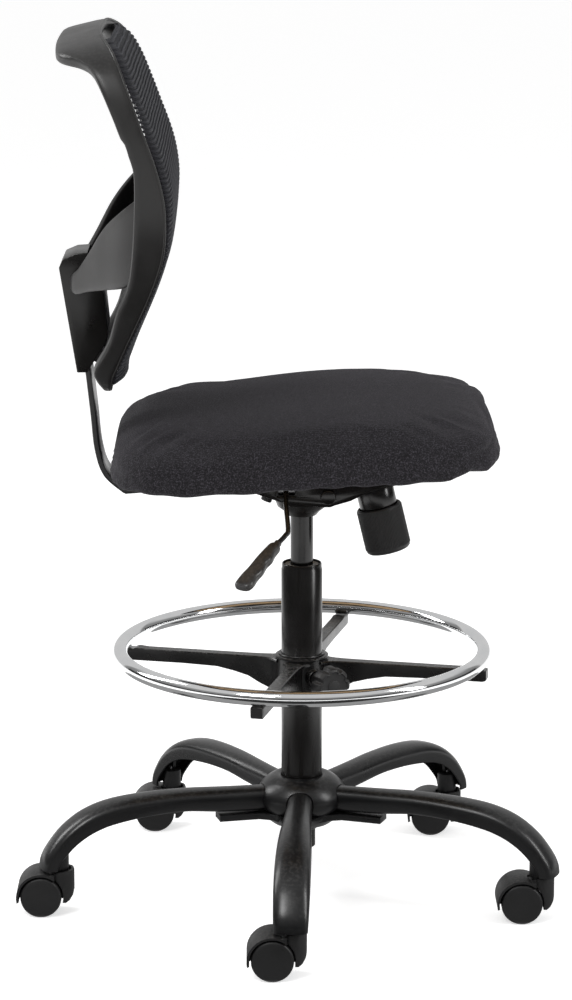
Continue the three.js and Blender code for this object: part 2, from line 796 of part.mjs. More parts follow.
// The band a line makes when it is given a thickness, as a closed side view.
function band(points, thick) {
  const left = [];
  const right = [];
  points.forEach(([x, z], i) => {
    const [px, pz] = points[Math.max(i - 1, 0)];
    const [nx, nz] = points[Math.min(i + 1, points.length - 1)];
    const long = Math.hypot(nx - px, nz - pz);
    const ox = (-(nz - pz) / long) * (thick / 2);
    const oz = ((nx - px) / long) * (thick / 2);
    left.push([x + ox, z + oz]);
    right.push([x - ox, z - oz]);
  });
  return [...right, ...left.reverse()];
}

const slideLean = 8.9; // degrees, the back leans away from the seat
const barKnee = [-255.5, 657];
const onSlide = (s) => [barKnee[0] - s * Math.sin(deg(slideLean)), barKnee[1] + s * Math.cos(deg(slideLean))];
const barPath = [
  onSlide(112),
  onSlide(60),
  ...smooth([barKnee, [-250.5, 610], [-246, 566], [-236, 536], [-213, barLine(-213)]], 12),
  [-60, barLine(-60)],
];

function makeBracket() {
  const side = [
    [-269, 662], [-257, 662], [-233, 700], [-232, 716], [-236, 756], [-246, 790], [-255, 806],
    [-270, 805], [-284, 799], [-289, 788],
  ];
  const room = sidePlate(band([onSlide(-40), onSlide(118)], barThick + 2), -barWide / 2 - 1, barWide / 2 + 1);
  return solid(sidePlate(side, -bracketHalf, bracketHalf)).subtract(solid(room));
}

// Front and rear edges of the side rails, and half the back's width, at each height.
const railFront = [
  [640, -232], [654, -228], [713, -205], [751, -187], [774, -177], [800, -167], [825, -160], [852, -157], [888, -157],
  [927, -164], [970, -178], [1000, -189], [1030, -201], [1051, -213], [1066, -226], [1085, -240],
];
const railRear = [
  [640, -240], [668, -243], [684, -244], [717, -227], [755, -216], [776, -207], [800, -199], [850, -193], [920, -190],
  [941, -195], [989, -216], [1028, -236], [1046, -258], [1058, -283], [1085, -286],
];
// Half of the frame's outline seen from the front, up one side from the bottom middle.
const frameHalf = [
  [0, 664], [60, 662], [106, 668], [134, 698], [160, 756], [182, 806], [199, 860], [206, 920], [206, 980],
  [200, 1024], [184, 1052], [150, 1064], [80, 1067], [0, 1068],
];

function frameLoop() {
  const half = smooth(frameHalf, 22);
  const back = half.slice(1, -1).reverse().map(([y, z]) => [-y, z]);
  return [...half, ...back];
}

function makeBackFrame() {
  const loop = frameLoop();
  const rings = loop.map(([y, z], i) => {
    const [py, pz] = loop[(i + loop.length - 1) % loop.length];
    const [ny, nz] = loop[(i + 1) % loop.length];
    const long = Math.hypot(ny - py, nz - pz);
    const out = [(nz - pz) / long, -(ny - py) / long];
    const front = along(railFront, z);
    const rear = along(railRear, z);
    return rounded((front - rear) / 2, railThick / 2, 8, 5)
      .map(([x, n]) => [(front + rear) / 2 + x, y + n * out[0], z + n * out[1]]);
  });
  let made = solid(skin(rings, true));
  for (const hand of [-1, 1]) made = made.add(makeArm(hand));
  const tab = sidePlate([[-254, 676], [-232, 664], [-229, 676], [-236, 694], [-250, 700]], -24, 24);
  const room = sidePlate([[-269, 655], [-257 + gap, 661], [-233 + gap, 700], [-232 + gap, 716], [-236 + gap, 756],
    [-246, 790 + gap], [-255, 806 + gap], [-300, 806], [-300, 662]], -bracketHalf - gap, bracketHalf + gap);
  return made.add(solid(tab)).subtract(solid(room)).subtract(solid(bandRoom()));
}

function bandRoom() {
  return sidePlate(band([onSlide(-40), onSlide(118)], barThick + 2), -barWide / 2 - 1, barWide / 2 + 1);
}

// Arm stations: x, then y and z of its lower edge, then y and z of its upper edge.
const armStations = [
  [-172, 183, 808, 203, 902],
  [-203, 158, 784, 176, 878],
  [-228, 124, 775, 132, 850],
  [-248, 91, 770, 93, 822],
  [-266, 60, 764, 60, 802],
  [-271, bracketHalf + gap + armThick / 2, 762, bracketHalf + gap + armThick / 2, 798],
];

function makeArm(hand) {
  const middle = armStations.map(([x, y0, , y1]) => [x, (y0 + y1) / 2]);
  const rings = armStations.map(([x, y0, z0, y1, z1], i) => {
    const [px, py] = middle[Math.max(i - 1, 0)];
    const [nx, ny] = middle[Math.min(i + 1, middle.length - 1)];
    const long = Math.hypot(nx - px, ny - py);
    const out = [(ny - py) / long, -(nx - px) / long];
    return rounded(armThick / 2, 0.5, 8, 5).map(([n, t]) => {
      const y = THREE.MathUtils.lerp(y0, y1, t + 0.5) + n * out[1];
      return [x + n * out[0], hand * y, THREE.MathUtils.lerp(z0, z1, t + 0.5)];
    });
  });
  return solid(skin(rings));
}

// How far the mesh stands in front of the rails' front edge at mid width.
const meshBulge = [[660, 12], [780, 9], [860, 5], [930, 1.5], [1060, 0]];

function makeMesh() {
  const rows = 14;
  const columns = 8;
  const low = 664;
  const high = 1064;
  const sheetOf = (offset) => {
    const grid = [];
    for (let r = 0; r <= rows; r++) {
      const z = THREE.MathUtils.lerp(low, high, r / rows);
      const half = meshHalf(z);
      const line = [];
      for (let c = 0; c <= columns; c++) {
        const u = (c / columns) * 2 - 1;
        const x = along(railFront, z) + along(meshBulge, z) * (1 - u * u) + meshGap + offset;
        line.push([x, u * half, z]);
      }
      grid.push(line);
    }
    return grid;
  };
  const back = sheetOf(0.6);
  const front = sheetOf(0.6 + meshThick);
  const rings = [];
  for (let r = 0; r <= rows; r++) rings.push([...back[r], ...[...front[r]].reverse()]);
  return skin(rings);
}

function meshHalf(z) {
  const half = smooth(frameHalf, 60).filter(([y], i, all) => i > 0 && y > 0 && i < all.length - 1);
  const rise = half.map(([y, at]) => [at, y]).sort((a, b) => a[0] - b[0]);
  return along(rise, z) - 1;
}

const back = groupAt(0, 0, 0);
add(mechanism, "seat_plate", makeSeatPlate(), darkSteel());
const board = seatOutline(boardInset);
add(seat, "seat_board", plan(outline(board), 0, boardThick), finish(0x8a6f4d, 0.8, 0));
add(seat, "seat_cushion", makeCushion(), finish(0x1d1c20, 0.95, 0));
add(mechanism, "back_bar", sidePlate(band(barPath, barThick), -barWide / 2, barWide / 2), blackPaint());
add(back, "back_bracket", makeBracket(), blackPlastic());
add(back, "back_frame", makeBackFrame(), greyPlastic());
add(back, "back_mesh", makeMesh(), finish(0x15161a, 0.9, 0));

// The origin is on the floor under the middle of the chair's box.
const bounds = new THREE.Box3().setFromObject(chair, true);
const middle = bounds.getCenter(new THREE.Vector3());
chair.position.set(-middle.x, -middle.y, -bounds.min.z);

export default chair;
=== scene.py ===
# Drafting chair: the looks of every piece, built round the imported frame. Lengths are millimetres
# from the foot of the column: x to the front of the seat, y to the sitter's left, z up.
import math

import bmesh
import bpy
import numpy as np
from mathutils import Matrix, Vector


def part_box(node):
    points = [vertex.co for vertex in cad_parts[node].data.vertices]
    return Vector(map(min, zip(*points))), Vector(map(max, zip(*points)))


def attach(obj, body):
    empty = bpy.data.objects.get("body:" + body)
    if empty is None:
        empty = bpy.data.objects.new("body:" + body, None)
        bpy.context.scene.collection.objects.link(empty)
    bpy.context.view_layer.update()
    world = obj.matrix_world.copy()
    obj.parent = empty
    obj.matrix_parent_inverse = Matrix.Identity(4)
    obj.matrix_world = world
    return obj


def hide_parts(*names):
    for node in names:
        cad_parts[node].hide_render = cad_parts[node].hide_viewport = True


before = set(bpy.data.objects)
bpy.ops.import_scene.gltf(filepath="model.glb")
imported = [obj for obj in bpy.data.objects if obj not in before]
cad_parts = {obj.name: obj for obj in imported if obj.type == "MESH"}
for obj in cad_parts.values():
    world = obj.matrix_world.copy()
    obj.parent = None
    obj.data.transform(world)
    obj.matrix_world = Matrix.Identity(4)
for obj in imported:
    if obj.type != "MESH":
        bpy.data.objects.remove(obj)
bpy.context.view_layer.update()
mm = 0.001
tubeLow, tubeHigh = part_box("column_tube")
column = np.array([(tubeLow.x + tubeHigh.x) / 2, (tubeLow.y + tubeHigh.y) / 2, 0])
print("frame loaded")


# Shapes: points in millimetres, placed by a matrix where a piece stands askew.
def toMetres(points, place=None):
    points = np.array(points, float).reshape(-1, 3)
    if place is not None:
        turn = np.array(place)
        points = points @ turn[:3, :3].T + turn[:3, 3]
    return points * mm + column


# The reverse of toMetres
def toPlace(points, place):
    turn = np.array(place.inverted())
    return (points - column) / mm @ turn[:3, :3].T + turn[:3, 3]


def linked(name, data):
    piece = bpy.data.objects.new(name, data)
    bpy.context.scene.collection.objects.link(piece)
    return piece


def pointsOf(mesh):
    points = np.zeros(len(mesh.vertices) * 3)
    mesh.vertices.foreach_get("co", points)
    return points.reshape(-1, 3)


def tidyMesh(mesh):
    work = bmesh.new()
    work.from_mesh(mesh)
    bmesh.ops.remove_doubles(work, verts=work.verts, dist=2e-6)
    bmesh.ops.recalc_face_normals(work, faces=work.faces)
    work.to_mesh(mesh)
    work.free()


def newPiece(name, points, faces, place=None, tidy=True):
    mesh = bpy.data.meshes.new(name)
    mesh.from_pydata(toMetres(points, place).tolist(), [], faces)
    if tidy:
        tidyMesh(mesh)
    return linked(name, mesh)


def loft(name, rings, looped=False, place=None):
    count = len(rings[0])
    spans = len(rings) if looped else len(rings) - 1
    faces = []
    for i in range(spans):
        here, after = i * count, (i + 1) % len(rings) * count
        faces += [(here + j, here + (j + 1) % count, after + (j + 1) % count, after + j)
                  for j in range(count)]
    if not looped:
        last = (len(rings) - 1) * count
        faces += [tuple(range(count))[::-1], tuple(range(last, last + count))]
    return newPiece(name, [p for ring in rings for p in ring], faces, place)


def turned(name, profile, sides=96, place=None):
    rings = []
    for i in range(sides):
        c, s = math.cos(2 * math.pi * i / sides), math.sin(2 * math.pi * i / sides)
        rings.append([(r * c, r * s, z) for r, z in profile])
    return loft(name, rings, True, place)


# Outline seen from the side as [x, z], from y = low to y = high
def plate(name, outline, low, high, place=None):
    return loft(name, [[(x, y, z) for x, z in outline] for y in (low, high)], False, place)


def rounded(halfWide, halfHigh, count, power=4.0):
    ring = []
    for i in range(count):
        t = 2 * math.pi * (i + 0.5) / count
        c, s = math.cos(t), math.sin(t)
        r = (abs(c) ** power + abs(s) ** power) ** (-1 / power)
        ring.append((halfWide * r * c, halfHigh * r * s))
    return ring


# A Catmull-Rom line through rows of numbers
def smooth(rows, count, looped=False):
    rows = np.array(rows, float)
    spans = len(rows) if looped else len(rows) - 1
    out = []

    def pick(j):
        return rows[j % len(rows) if looped else min(max(j, 0), len(rows) - 1)]

    for k in range(count if looped else count + 1):
        at = k / count * spans
        i = min(int(at), spans - 1)
        t = at - i
        a, b, c, d = pick(i - 1), pick(i), pick(i + 1), pick(i + 2)
        out.append(0.5 * (2 * b + (c - a) * t + (2 * a - 5 * b + 4 * c - d) * t * t
                          + (3 * b - a - 3 * c + d) * t ** 3))
    return np.array(out)


def bake(piece):
    bpy.context.view_layer.update()
    graph = bpy.context.evaluated_depsgraph_get()
    mesh = bpy.data.meshes.new_from_object(piece.evaluated_get(graph), depsgraph=graph)
    old = piece.data
    piece.modifiers.clear()
    piece.data = mesh
    bpy.data.meshes.remove(old)
    mesh.name = piece.name
    return piece


def softEdges(piece, width, segments=2, angle=35):
    bevel = piece.modifiers.new("soft edges", "BEVEL")
    bevel.width, bevel.segments = width * mm, segments
    bevel.limit_method, bevel.angle_limit = "ANGLE", math.radians(angle)
    bevel.miter_outer = "MITER_ARC"
    return bake(piece)


def subdivide(piece, levels=1):
    finer = piece.modifiers.new("finer", "SUBSURF")
    finer.levels = finer.render_levels = levels
    return bake(piece)


def cut(piece, *tools, operation="DIFFERENCE"):
    for tool in tools:
        knife = piece.modifiers.new("cut", "BOOLEAN")
        knife.operation, knife.solver, knife.object = operation, "EXACT", tool
        bake(piece)
        bpy.data.objects.remove(tool)
    return piece


def joined(name, pieces):
    work = bmesh.new()
    for piece in pieces:
        work.from_mesh(piece.data)
        bpy.data.objects.remove(piece)
    mesh = bpy.data.meshes.new(name)
    work.to_mesh(mesh)
    work.free()
    return linked(name, mesh)


# A copy of a piece, moved by a matrix given in millimetres from the column's foot
def copied(piece, name, place):
    mesh = piece.data.copy()
    points = (pointsOf(mesh) - column) / mm
    mesh.vertices.foreach_set("co", toMetres(points, place).ravel())
    mesh.update()
    mesh.name = name
    return linked(name, mesh)


# A merged copy of a CAD node with its flats made whole and its edges rounded
def fromNode(name, node, edge=0.6, segments=2, flat=1.0):
    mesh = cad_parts[node].data.copy()
    mesh.materials.clear()
    work = bmesh.new()
    work.from_mesh(mesh)
    bmesh.ops.remove_doubles(work, verts=work.verts, dist=2e-5)
    bmesh.ops.dissolve_limit(work, angle_limit=math.radians(flat), verts=work.verts,
                             edges=work.edges)
    work.to_mesh(mesh)
    work.free()
    piece = linked(name, mesh)
    return softEdges(piece, edge, segments)


def finishPiece(piece, body, slot, material, *nodes, crease=38):
    piece.data.materials.clear()
    piece.data.materials.append(material)
    piece.data.polygons.foreach_set("use_smooth", [True] * len(piece.data.polygons))
    piece.data.set_sharp_from_angle(angle=math.radians(crease))
    piece.data.polygons.foreach_set("material_index", [0] * len(piece.data.polygons))
    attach(piece, body)
    if nodes:
        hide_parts(*nodes)
    return piece


# A place: leaned about Y, turned about Z, then moved
def about(x=0, y=0, z=0, turn=0, lean=0):
    return (Matrix.Translation((x, y, z)) @ Matrix.Rotation(math.radians(turn), 4, "Z")
            @ Matrix.Rotation(math.radians(lean), 4, "Y"))


# Shader groups
def node(tree, kind, links=(), **values):
    made = tree.nodes.new(kind)
    for key, value in values.items():
        setattr(made, key, value)
    for socket, source in dict(links).items():
        if isinstance(source, bpy.types.NodeSocket):
            tree.links.new(source, made.inputs[socket])
        else:
            made.inputs[socket].default_value = source
    return made


def maths(tree, operation, *values):
    return node(tree, "ShaderNodeMath", enumerate(values), operation=operation).outputs[0]


def newGroup(name, inputs, outputs):
    tree = bpy.data.node_groups.new(name, "ShaderNodeTree")
    for label, value in inputs.items():
        socket = tree.interface.new_socket(label, in_out="INPUT", socket_type="NodeSocketFloat")
        socket.default_value = value
    for label in outputs:
        tree.interface.new_socket(label, in_out="OUTPUT", socket_type="NodeSocketFloat")
    return tree, node(tree, "NodeGroupInput"), node(tree, "NodeGroupOutput")


def mouldedGrain():
    tree, given, result = newGroup("moulded grain", {"Grain Scale": 900.0, "Patch Scale": 14.0},
                                   ["Height", "Patches"])
    where = node(tree, "ShaderNodeTexCoord")
    fine = node(tree, "ShaderNodeTexNoise", {"Vector": where.outputs["Object"],
                                             "Scale": given.outputs["Grain Scale"], "Detail": 2.0,
                                             "Roughness": 0.6})
    broad = node(tree, "ShaderNodeTexNoise", {"Vector": where.outputs["Object"],
                                              "Scale": given.outputs["Patch Scale"], "Detail": 4.0,
                                              "Roughness": 0.65})
    level = node(tree, "ShaderNodeMapRange", {"Value": broad.outputs["Fac"], "From Min": 0.35,
                                              "From Max": 0.68})
    tree.links.new(fine.outputs["Fac"], result.inputs["Height"])
    tree.links.new(level.outputs["Result"], result.inputs["Patches"])
    return tree


# A little pale dust that settles on faces that look up
def fineDust():
    tree, given, result = newGroup("fine dust", {"Amount": 0.2, "Speck Scale": 260.0}, ["Mask"])
    where = node(tree, "ShaderNodeTexCoord")
    facing = node(tree, "ShaderNodeNewGeometry")
    up = node(tree, "ShaderNodeSeparateXYZ", {"Vector": facing.outputs["Normal"]})
    shelf = node(tree, "ShaderNodeMapRange", {"Value": up.outputs["Z"], "From Min": 0.3,
                                              "From Max": 1.0})
    specks = node(tree, "ShaderNodeTexNoise", {"Vector": where.outputs["Object"],
                                               "Scale": given.outputs["Speck Scale"],
                                               "Detail": 3.0})
    spread = node(tree, "ShaderNodeMapRange", {"Value": specks.outputs["Fac"], "From Min": 0.45,
                                               "From Max": 0.75})
    both = maths(tree, "MULTIPLY", shelf.outputs["Result"], spread.outputs["Result"])
    tree.links.new(maths(tree, "MULTIPLY", both, given.outputs["Amount"]), result.inputs["Mask"])
    return tree


# Two sets of crossing threads, for cloth that covers a block from all sides
def wovenThreads():
    tree, given, result = newGroup("woven threads", {"Thread Pitch": 0.0012, "Slub": 0.35},
                                   ["Height", "Speckle"])
    where = node(tree, "ShaderNodeTexCoord")
    wobble = node(tree, "ShaderNodeTexNoise", {"Vector": where.outputs["Object"], "Scale": 90.0,
                                               "Detail": 2.0})
    shifted = node(tree, "ShaderNodeVectorMath", {0: wobble.outputs["Color"], "Scale": 0.0012},
                   operation="SCALE")
    bent = node(tree, "ShaderNodeVectorMath", {0: where.outputs["Object"], 1: shifted.outputs[0]},
                operation="ADD")
    axes = node(tree, "ShaderNodeSeparateXYZ", {"Vector": bent.outputs[0]})
    turns = maths(tree, "DIVIDE", 2 * math.pi, given.outputs["Thread Pitch"])
    waves = [maths(tree, "SINE", maths(tree, "MULTIPLY", axes.outputs[axis], turns))
             for axis in "XYZ"]
    three = maths(tree, "ADD", maths(tree, "ADD", waves[0], waves[1]), waves[2])
    weave = node(tree, "ShaderNodeMapRange", {"Value": three, "From Min": -2.0, "From Max": 2.0})
    slub = node(tree, "ShaderNodeTexNoise", {"Vector": where.outputs["Object"], "Scale": 620.0,
                                             "Detail": 3.0, "Roughness": 0.7})
    height = node(tree, "ShaderNodeMix", {"Factor": given.outputs["Slub"],
                                          "A": weave.outputs["Result"], "B": slub.outputs["Fac"]})
    specks = node(tree, "ShaderNodeMapRange", {"Value": slub.outputs["Fac"], "From Min": 0.48,
                                               "From Max": 0.66})
    tree.links.new(height.outputs["Result"], result.inputs["Height"])
    tree.links.new(specks.outputs["Result"], result.inputs["Speckle"])
    return tree


groups = {"grain": mouldedGrain(), "dust": fineDust(), "weave": wovenThreads()}


def useGroup(tree, name, **values):
    made = tree.nodes.new("ShaderNodeGroup")
    made.node_tree = groups[name]
    for label, value in values.items():
        made.inputs[label.replace("_", " ")].default_value = value
    return made


def newMaterial(name, **fixed):
    material = bpy.data.materials.new(name)
    material.use_nodes = True
    tree = material.node_tree
    shader = next(n for n in tree.nodes if n.type == "BSDF_PRINCIPLED")
    for label, value in fixed.items():
        shader.inputs[label.replace("_", " ")].default_value = value
    return material, tree, shader


def tint(tree, shader, colours, factor, socket="Base Color"):
    mix = node(tree, "ShaderNodeMix", {"Factor": factor}, data_type="RGBA")
    for place, colour in zip((6, 7), colours):
        if isinstance(colour, bpy.types.NodeSocket):
            tree.links.new(colour, mix.inputs[place])
        else:
            mix.inputs[place].default_value = (*colour, 1)
    if shader is not None:
        tree.links.new(mix.outputs[2], shader.inputs[socket])
    return mix.outputs[2]


def ranged(tree, source, low, high):
    return node(tree, "ShaderNodeMapRange", {"Value": source, "To Min": low,
                                             "To Max": high}).outputs["Result"]


def bumped(tree, shader, height, strength, distance):
    bump = node(tree, "ShaderNodeBump", {"Height": height, "Strength": strength,
                                         "Distance": distance})
    tree.links.new(bump.outputs["Normal"], shader.inputs["Normal"])


# Paint or plastic with a fine skin, uneven gloss and a little dust
def mouldedMaterial(name, dark, light, gloss, grain=900.0, depth=0.00006, strength=0.35, dust=0.12,
                    **fixed):
    material, tree, shader = newMaterial(name, **fixed)
    skin = useGroup(tree, "grain", Grain_Scale=grain)
    settled = useGroup(tree, "dust", Amount=dust)
    ground = tint(tree, None, (dark, light), skin.outputs["Patches"])
    tint(tree, shader, (ground, (0.32, 0.31, 0.30)), settled.outputs["Mask"])
    rough = ranged(tree, skin.outputs["Patches"], *gloss)
    tree.links.new(rough, shader.inputs["Roughness"])
    bumped(tree, shader, skin.outputs["Height"], strength, depth)
    return material


def chromeMaterial():
    material, tree, shader = newMaterial("polished chrome", Metallic=1.0)
    skin = useGroup(tree, "grain", Grain_Scale=60.0, Patch_Scale=22.0)
    tint(tree, shader, ((0.80, 0.81, 0.82), (0.88, 0.88, 0.88)), skin.outputs["Patches"])
    tree.links.new(ranged(tree, skin.outputs["Patches"], 0.045, 0.09), shader.inputs["Roughness"])
    bumped(tree, shader, skin.outputs["Height"], 0.05, 0.0001)
    return material


def steelMaterial():
    material, tree, shader = newMaterial("bright zinc", Metallic=1.0)
    skin = useGroup(tree, "grain", Grain_Scale=500.0, Patch_Scale=60.0)
    tint(tree, shader, ((0.42, 0.42, 0.43), (0.66, 0.66, 0.66)), skin.outputs["Patches"])
    tree.links.new(ranged(tree, skin.outputs["Patches"], 0.22, 0.42), shader.inputs["Roughness"])
    bumped(tree, shader, skin.outputs["Height"], 0.2, 0.00005)
    return material


def seatClothMaterial():
    material, tree, shader = newMaterial("charcoal weave", Roughness=0.85, Sheen_Weight=0.07,
                                         Sheen_Roughness=0.4, Sheen_Tint=(0.62, 0.58, 0.66, 1),
                                         Specular_IOR_Level=0.2)
    threads = useGroup(tree, "weave", Thread_Pitch=0.0014)
    skin = useGroup(tree, "grain", Patch_Scale=9.0)
    ground = tint(tree, None, ((0.006, 0.0055, 0.0064), (0.0095, 0.0087, 0.0102)),
                  skin.outputs["Patches"])
    tint(tree, shader, (ground, (0.05, 0.046, 0.055)), threads.outputs["Speckle"])
    bumped(tree, shader, threads.outputs["Height"], 0.7, 0.0005)
    return material


# Knitted mesh; its holes follow the sheet's own map, in threads across and along
def meshClothMaterial(name, holes):
    material, tree, shader = newMaterial(name, Roughness=0.7, Sheen_Weight=0.06,
                                         Sheen_Roughness=0.4, Sheen_Tint=(0.6, 0.62, 0.75, 1),
                                         Specular_IOR_Level=0.3)
    skin = useGroup(tree, "grain", Grain_Scale=2500.0, Patch_Scale=30.0)
    tint(tree, shader, ((0.0045, 0.0045, 0.0065), (0.010, 0.010, 0.0145)), skin.outputs["Height"])
    bumped(tree, shader, skin.outputs["Height"], 0.5, 0.0002)
    if holes:
        chart = node(tree, "ShaderNodeUVMap", uv_map="threads")
        axes = node(tree, "ShaderNodeSeparateXYZ", {"Vector": chart.outputs["UV"]})
        waves = [maths(tree, "COSINE", maths(tree, "MULTIPLY", axes.outputs[axis], 2 * math.pi))
                 for axis in "XY"]
        thread = maths(tree, "MAXIMUM", *waves)
        solid = node(tree, "ShaderNodeMapRange", {"Value": thread, "From Min": -0.35,
                                                  "From Max": -0.15})
        tree.links.new(solid.outputs["Result"], shader.inputs["Alpha"])
    return material


def plywoodMaterial():
    material, tree, shader = newMaterial("bare plywood", Roughness=0.7)
    where = node(tree, "ShaderNodeTexCoord")
    stretched = node(tree, "ShaderNodeMapping",
                     {"Vector": where.outputs["Object"], "Scale": (4.0, 60.0, 900.0)})
    grain = node(tree, "ShaderNodeTexNoise", {"Vector": stretched.outputs["Vector"], "Scale": 1.6,
                                              "Detail": 6.0, "Distortion": 1.2})
    tint(tree, shader, ((0.20, 0.125, 0.06), (0.42, 0.29, 0.16)), grain.outputs["Fac"])
    bumped(tree, shader, grain.outputs["Fac"], 0.25, 0.0004)
    return material


powderCoat = mouldedMaterial("black powder coat", (0.0028, 0.0028, 0.0031), (0.0045, 0.0045, 0.005),
                             (0.27, 0.36), grain=1400.0, depth=0.00008, strength=0.3, dust=0.10)
enamel = mouldedMaterial("black enamel", (0.0032, 0.0026, 0.0024), (0.005, 0.0042, 0.0038),
                         (0.2, 0.3), grain=500.0, depth=0.00004, strength=0.15, dust=0.05)
casterPlastic = mouldedMaterial("caster nylon", (0.0055, 0.0053, 0.0056), (0.0082, 0.008, 0.0083),
                                (0.42, 0.54), grain=1600.0, depth=0.00012, strength=0.5, dust=0.15)
framePlastic = mouldedMaterial("frame plastic", (0.0085, 0.0078, 0.0076), (0.0115, 0.0107, 0.0103),
                               (0.36, 0.46), grain=1500.0, depth=0.0001, strength=0.45, dust=0.06)
housingPlastic = mouldedMaterial("housing plastic", (0.004, 0.0034, 0.003), (0.006, 0.0052, 0.0047),
                                 (0.26, 0.36), grain=1500.0, depth=0.0001, strength=0.4, dust=0.12)
knobPlastic = mouldedMaterial("knob plastic", (0.0095, 0.0091, 0.0094), (0.014, 0.0135, 0.014),
                              (0.46, 0.58), grain=1400.0, depth=0.00012, strength=0.5, dust=0.12)
gripPlastic = mouldedMaterial("grip plastic", (0.026, 0.025, 0.0245), (0.038, 0.0365, 0.036),
                              (0.3, 0.4), grain=1100.0, depth=0.00008, strength=0.35, dust=0.1)
bushPlastic = mouldedMaterial("bush plastic", (0.28, 0.28, 0.28), (0.38, 0.38, 0.37), (0.4, 0.5),
                              dust=0.2)
spiderPaint = mouldedMaterial("gloss black nylon", (0.006, 0.0057, 0.0058), (0.0095, 0.009, 0.009),
                              (0.24, 0.34), grain=700.0, depth=0.00006, strength=0.25, dust=0.35)
chrome = chromeMaterial()
zinc = steelMaterial()
seatCloth = seatClothMaterial()
meshCloth = meshClothMaterial("ribbed mesh", True)
ribThread = meshClothMaterial("mesh rib thread", False)
plywood = plywoodMaterial()
print("materials made")


# Geometry Nodes trees
def newTree(name, inputs):
    tree = bpy.data.node_groups.new(name, "GeometryNodeTree")
    tree.interface.new_socket("Geometry", in_out="INPUT", socket_type="NodeSocketGeometry")
    for label, (kind, value) in inputs.items():
        socket = tree.interface.new_socket(label, in_out="INPUT", socket_type=f"NodeSocket{kind}")
        if value is not None:
            socket.default_value = value
    tree.interface.new_socket("Geometry", in_out="OUTPUT", socket_type="NodeSocketGeometry")
    return tree, node(tree, "NodeGroupInput"), node(tree, "NodeGroupOutput")


def closeTree(tree, given, result, geometry):
    whole = node(tree, "GeometryNodeRealizeInstances", {"Geometry": geometry})
    painted = node(tree, "GeometryNodeSetMaterial", {"Geometry": whole.outputs[0],
                                                     "Material": given.outputs["Material"]})
    tree.links.new(painted.outputs[0], result.inputs[0])
    return tree


# A round thread, rod or bead along every edge line of a guide
def threadTree():
    tree, given, result = newTree("thread along a line",
                                  {"Radius": ("Float", 0.001), "Sides": ("Int", 8),
                                   "Material": ("Material", None)})
    line = node(tree, "GeometryNodeMeshToCurve", {"Mesh": given.outputs["Geometry"]})
    section = node(tree, "GeometryNodeCurvePrimitiveCircle", {"Resolution": given.outputs["Sides"],
                                                              "Radius": given.outputs["Radius"]})
    body = node(tree, "GeometryNodeCurveToMesh",
                {"Curve": line.outputs[0], "Profile Curve": section.outputs[0], "Fill Caps": True})
    return closeTree(tree, given, result, body.outputs[0])


# Pan-head screws with a hexagon recess, one on each point of a guide, standing along its facing
def screwTree():
    tree, given, result = newTree("pan-head screws",
                                  {"Head Radius": ("Float", 0.006), "Head Height": ("Float", 0.003),
                                   "Material": ("Material", None)})
    rim = node(tree, "GeometryNodeMeshCone", {"Vertices": 32,
                                              "Radius Bottom": given.outputs["Head Radius"],
                                              "Depth": given.outputs["Head Height"]})
    crown = maths(tree, "MULTIPLY", given.outputs["Head Radius"], 0.72)
    tree.links.new(crown, rim.inputs["Radius Top"])
    hexagon = maths(tree, "MULTIPLY", given.outputs["Head Radius"], 0.42)
    recess = node(tree, "GeometryNodeMeshCylinder", {"Vertices": 6, "Radius": hexagon,
                                                     "Depth": given.outputs["Head Height"]})
    rise = node(tree, "ShaderNodeCombineXYZ", {"Z": given.outputs["Head Height"]})
    raised = node(tree, "GeometryNodeTransform",
                  {"Geometry": recess.outputs[0], "Translation": rise.outputs[0]})
    head = node(tree, "GeometryNodeMeshBoolean",
                {"Mesh 1": rim.outputs[0], "Mesh 2": raised.outputs[0]}, operation="DIFFERENCE")
    facing = node(tree, "GeometryNodeInputNamedAttribute", {"Name": "facing"},
                  data_type="FLOAT_VECTOR")
    stand = node(tree, "FunctionNodeAlignRotationToVector", {"Vector": facing.outputs["Attribute"]},
                 axis="Z")
    placed = node(tree, "GeometryNodeInstanceOnPoints",
                  {"Points": given.outputs["Geometry"], "Instance": head.outputs[0],
                   "Rotation": stand.outputs[0]})
    return closeTree(tree, given, result, placed.outputs[0])


# Upright ribs round a barrel
def ribTree():
    tree, given, result = newTree("ribs round a barrel",
                                  {"Count": ("Int", 60), "Barrel Radius": ("Float", 0.03),
                                   "Rib Radius": ("Float", 0.001), "Length": ("Float", 0.05),
                                   "Material": ("Material", None)})
    ring = node(tree, "GeometryNodeMeshCircle", {"Vertices": given.outputs["Count"],
                                                 "Radius": given.outputs["Barrel Radius"]})
    rib = node(tree, "GeometryNodeMeshCylinder",
               {"Vertices": 8, "Radius": given.outputs["Rib Radius"],
                "Depth": given.outputs["Length"]})
    placed = node(tree, "GeometryNodeInstanceOnPoints",
                  {"Points": ring.outputs[0], "Instance": rib.outputs[0]})
    return closeTree(tree, given, result, placed.outputs[0])


trees = {"thread": threadTree(), "screws": screwTree(), "ribs": ribTree()}


# Gives a guide object its tree, sets the inputs by identifier, and keeps the plain mesh
def runTree(guide, name, **values):
    grower = guide.modifiers.new(name, "NODES")
    grower.node_group = trees[name]
    wanted = {label.replace("_", " "): value for label, value in values.items()}
    for item in trees[name].interface.items_tree:
        if item.item_type == "SOCKET" and item.in_out == "INPUT" and item.name in wanted:
            grower[item.identifier] = wanted[item.name]
    return bake(guide)


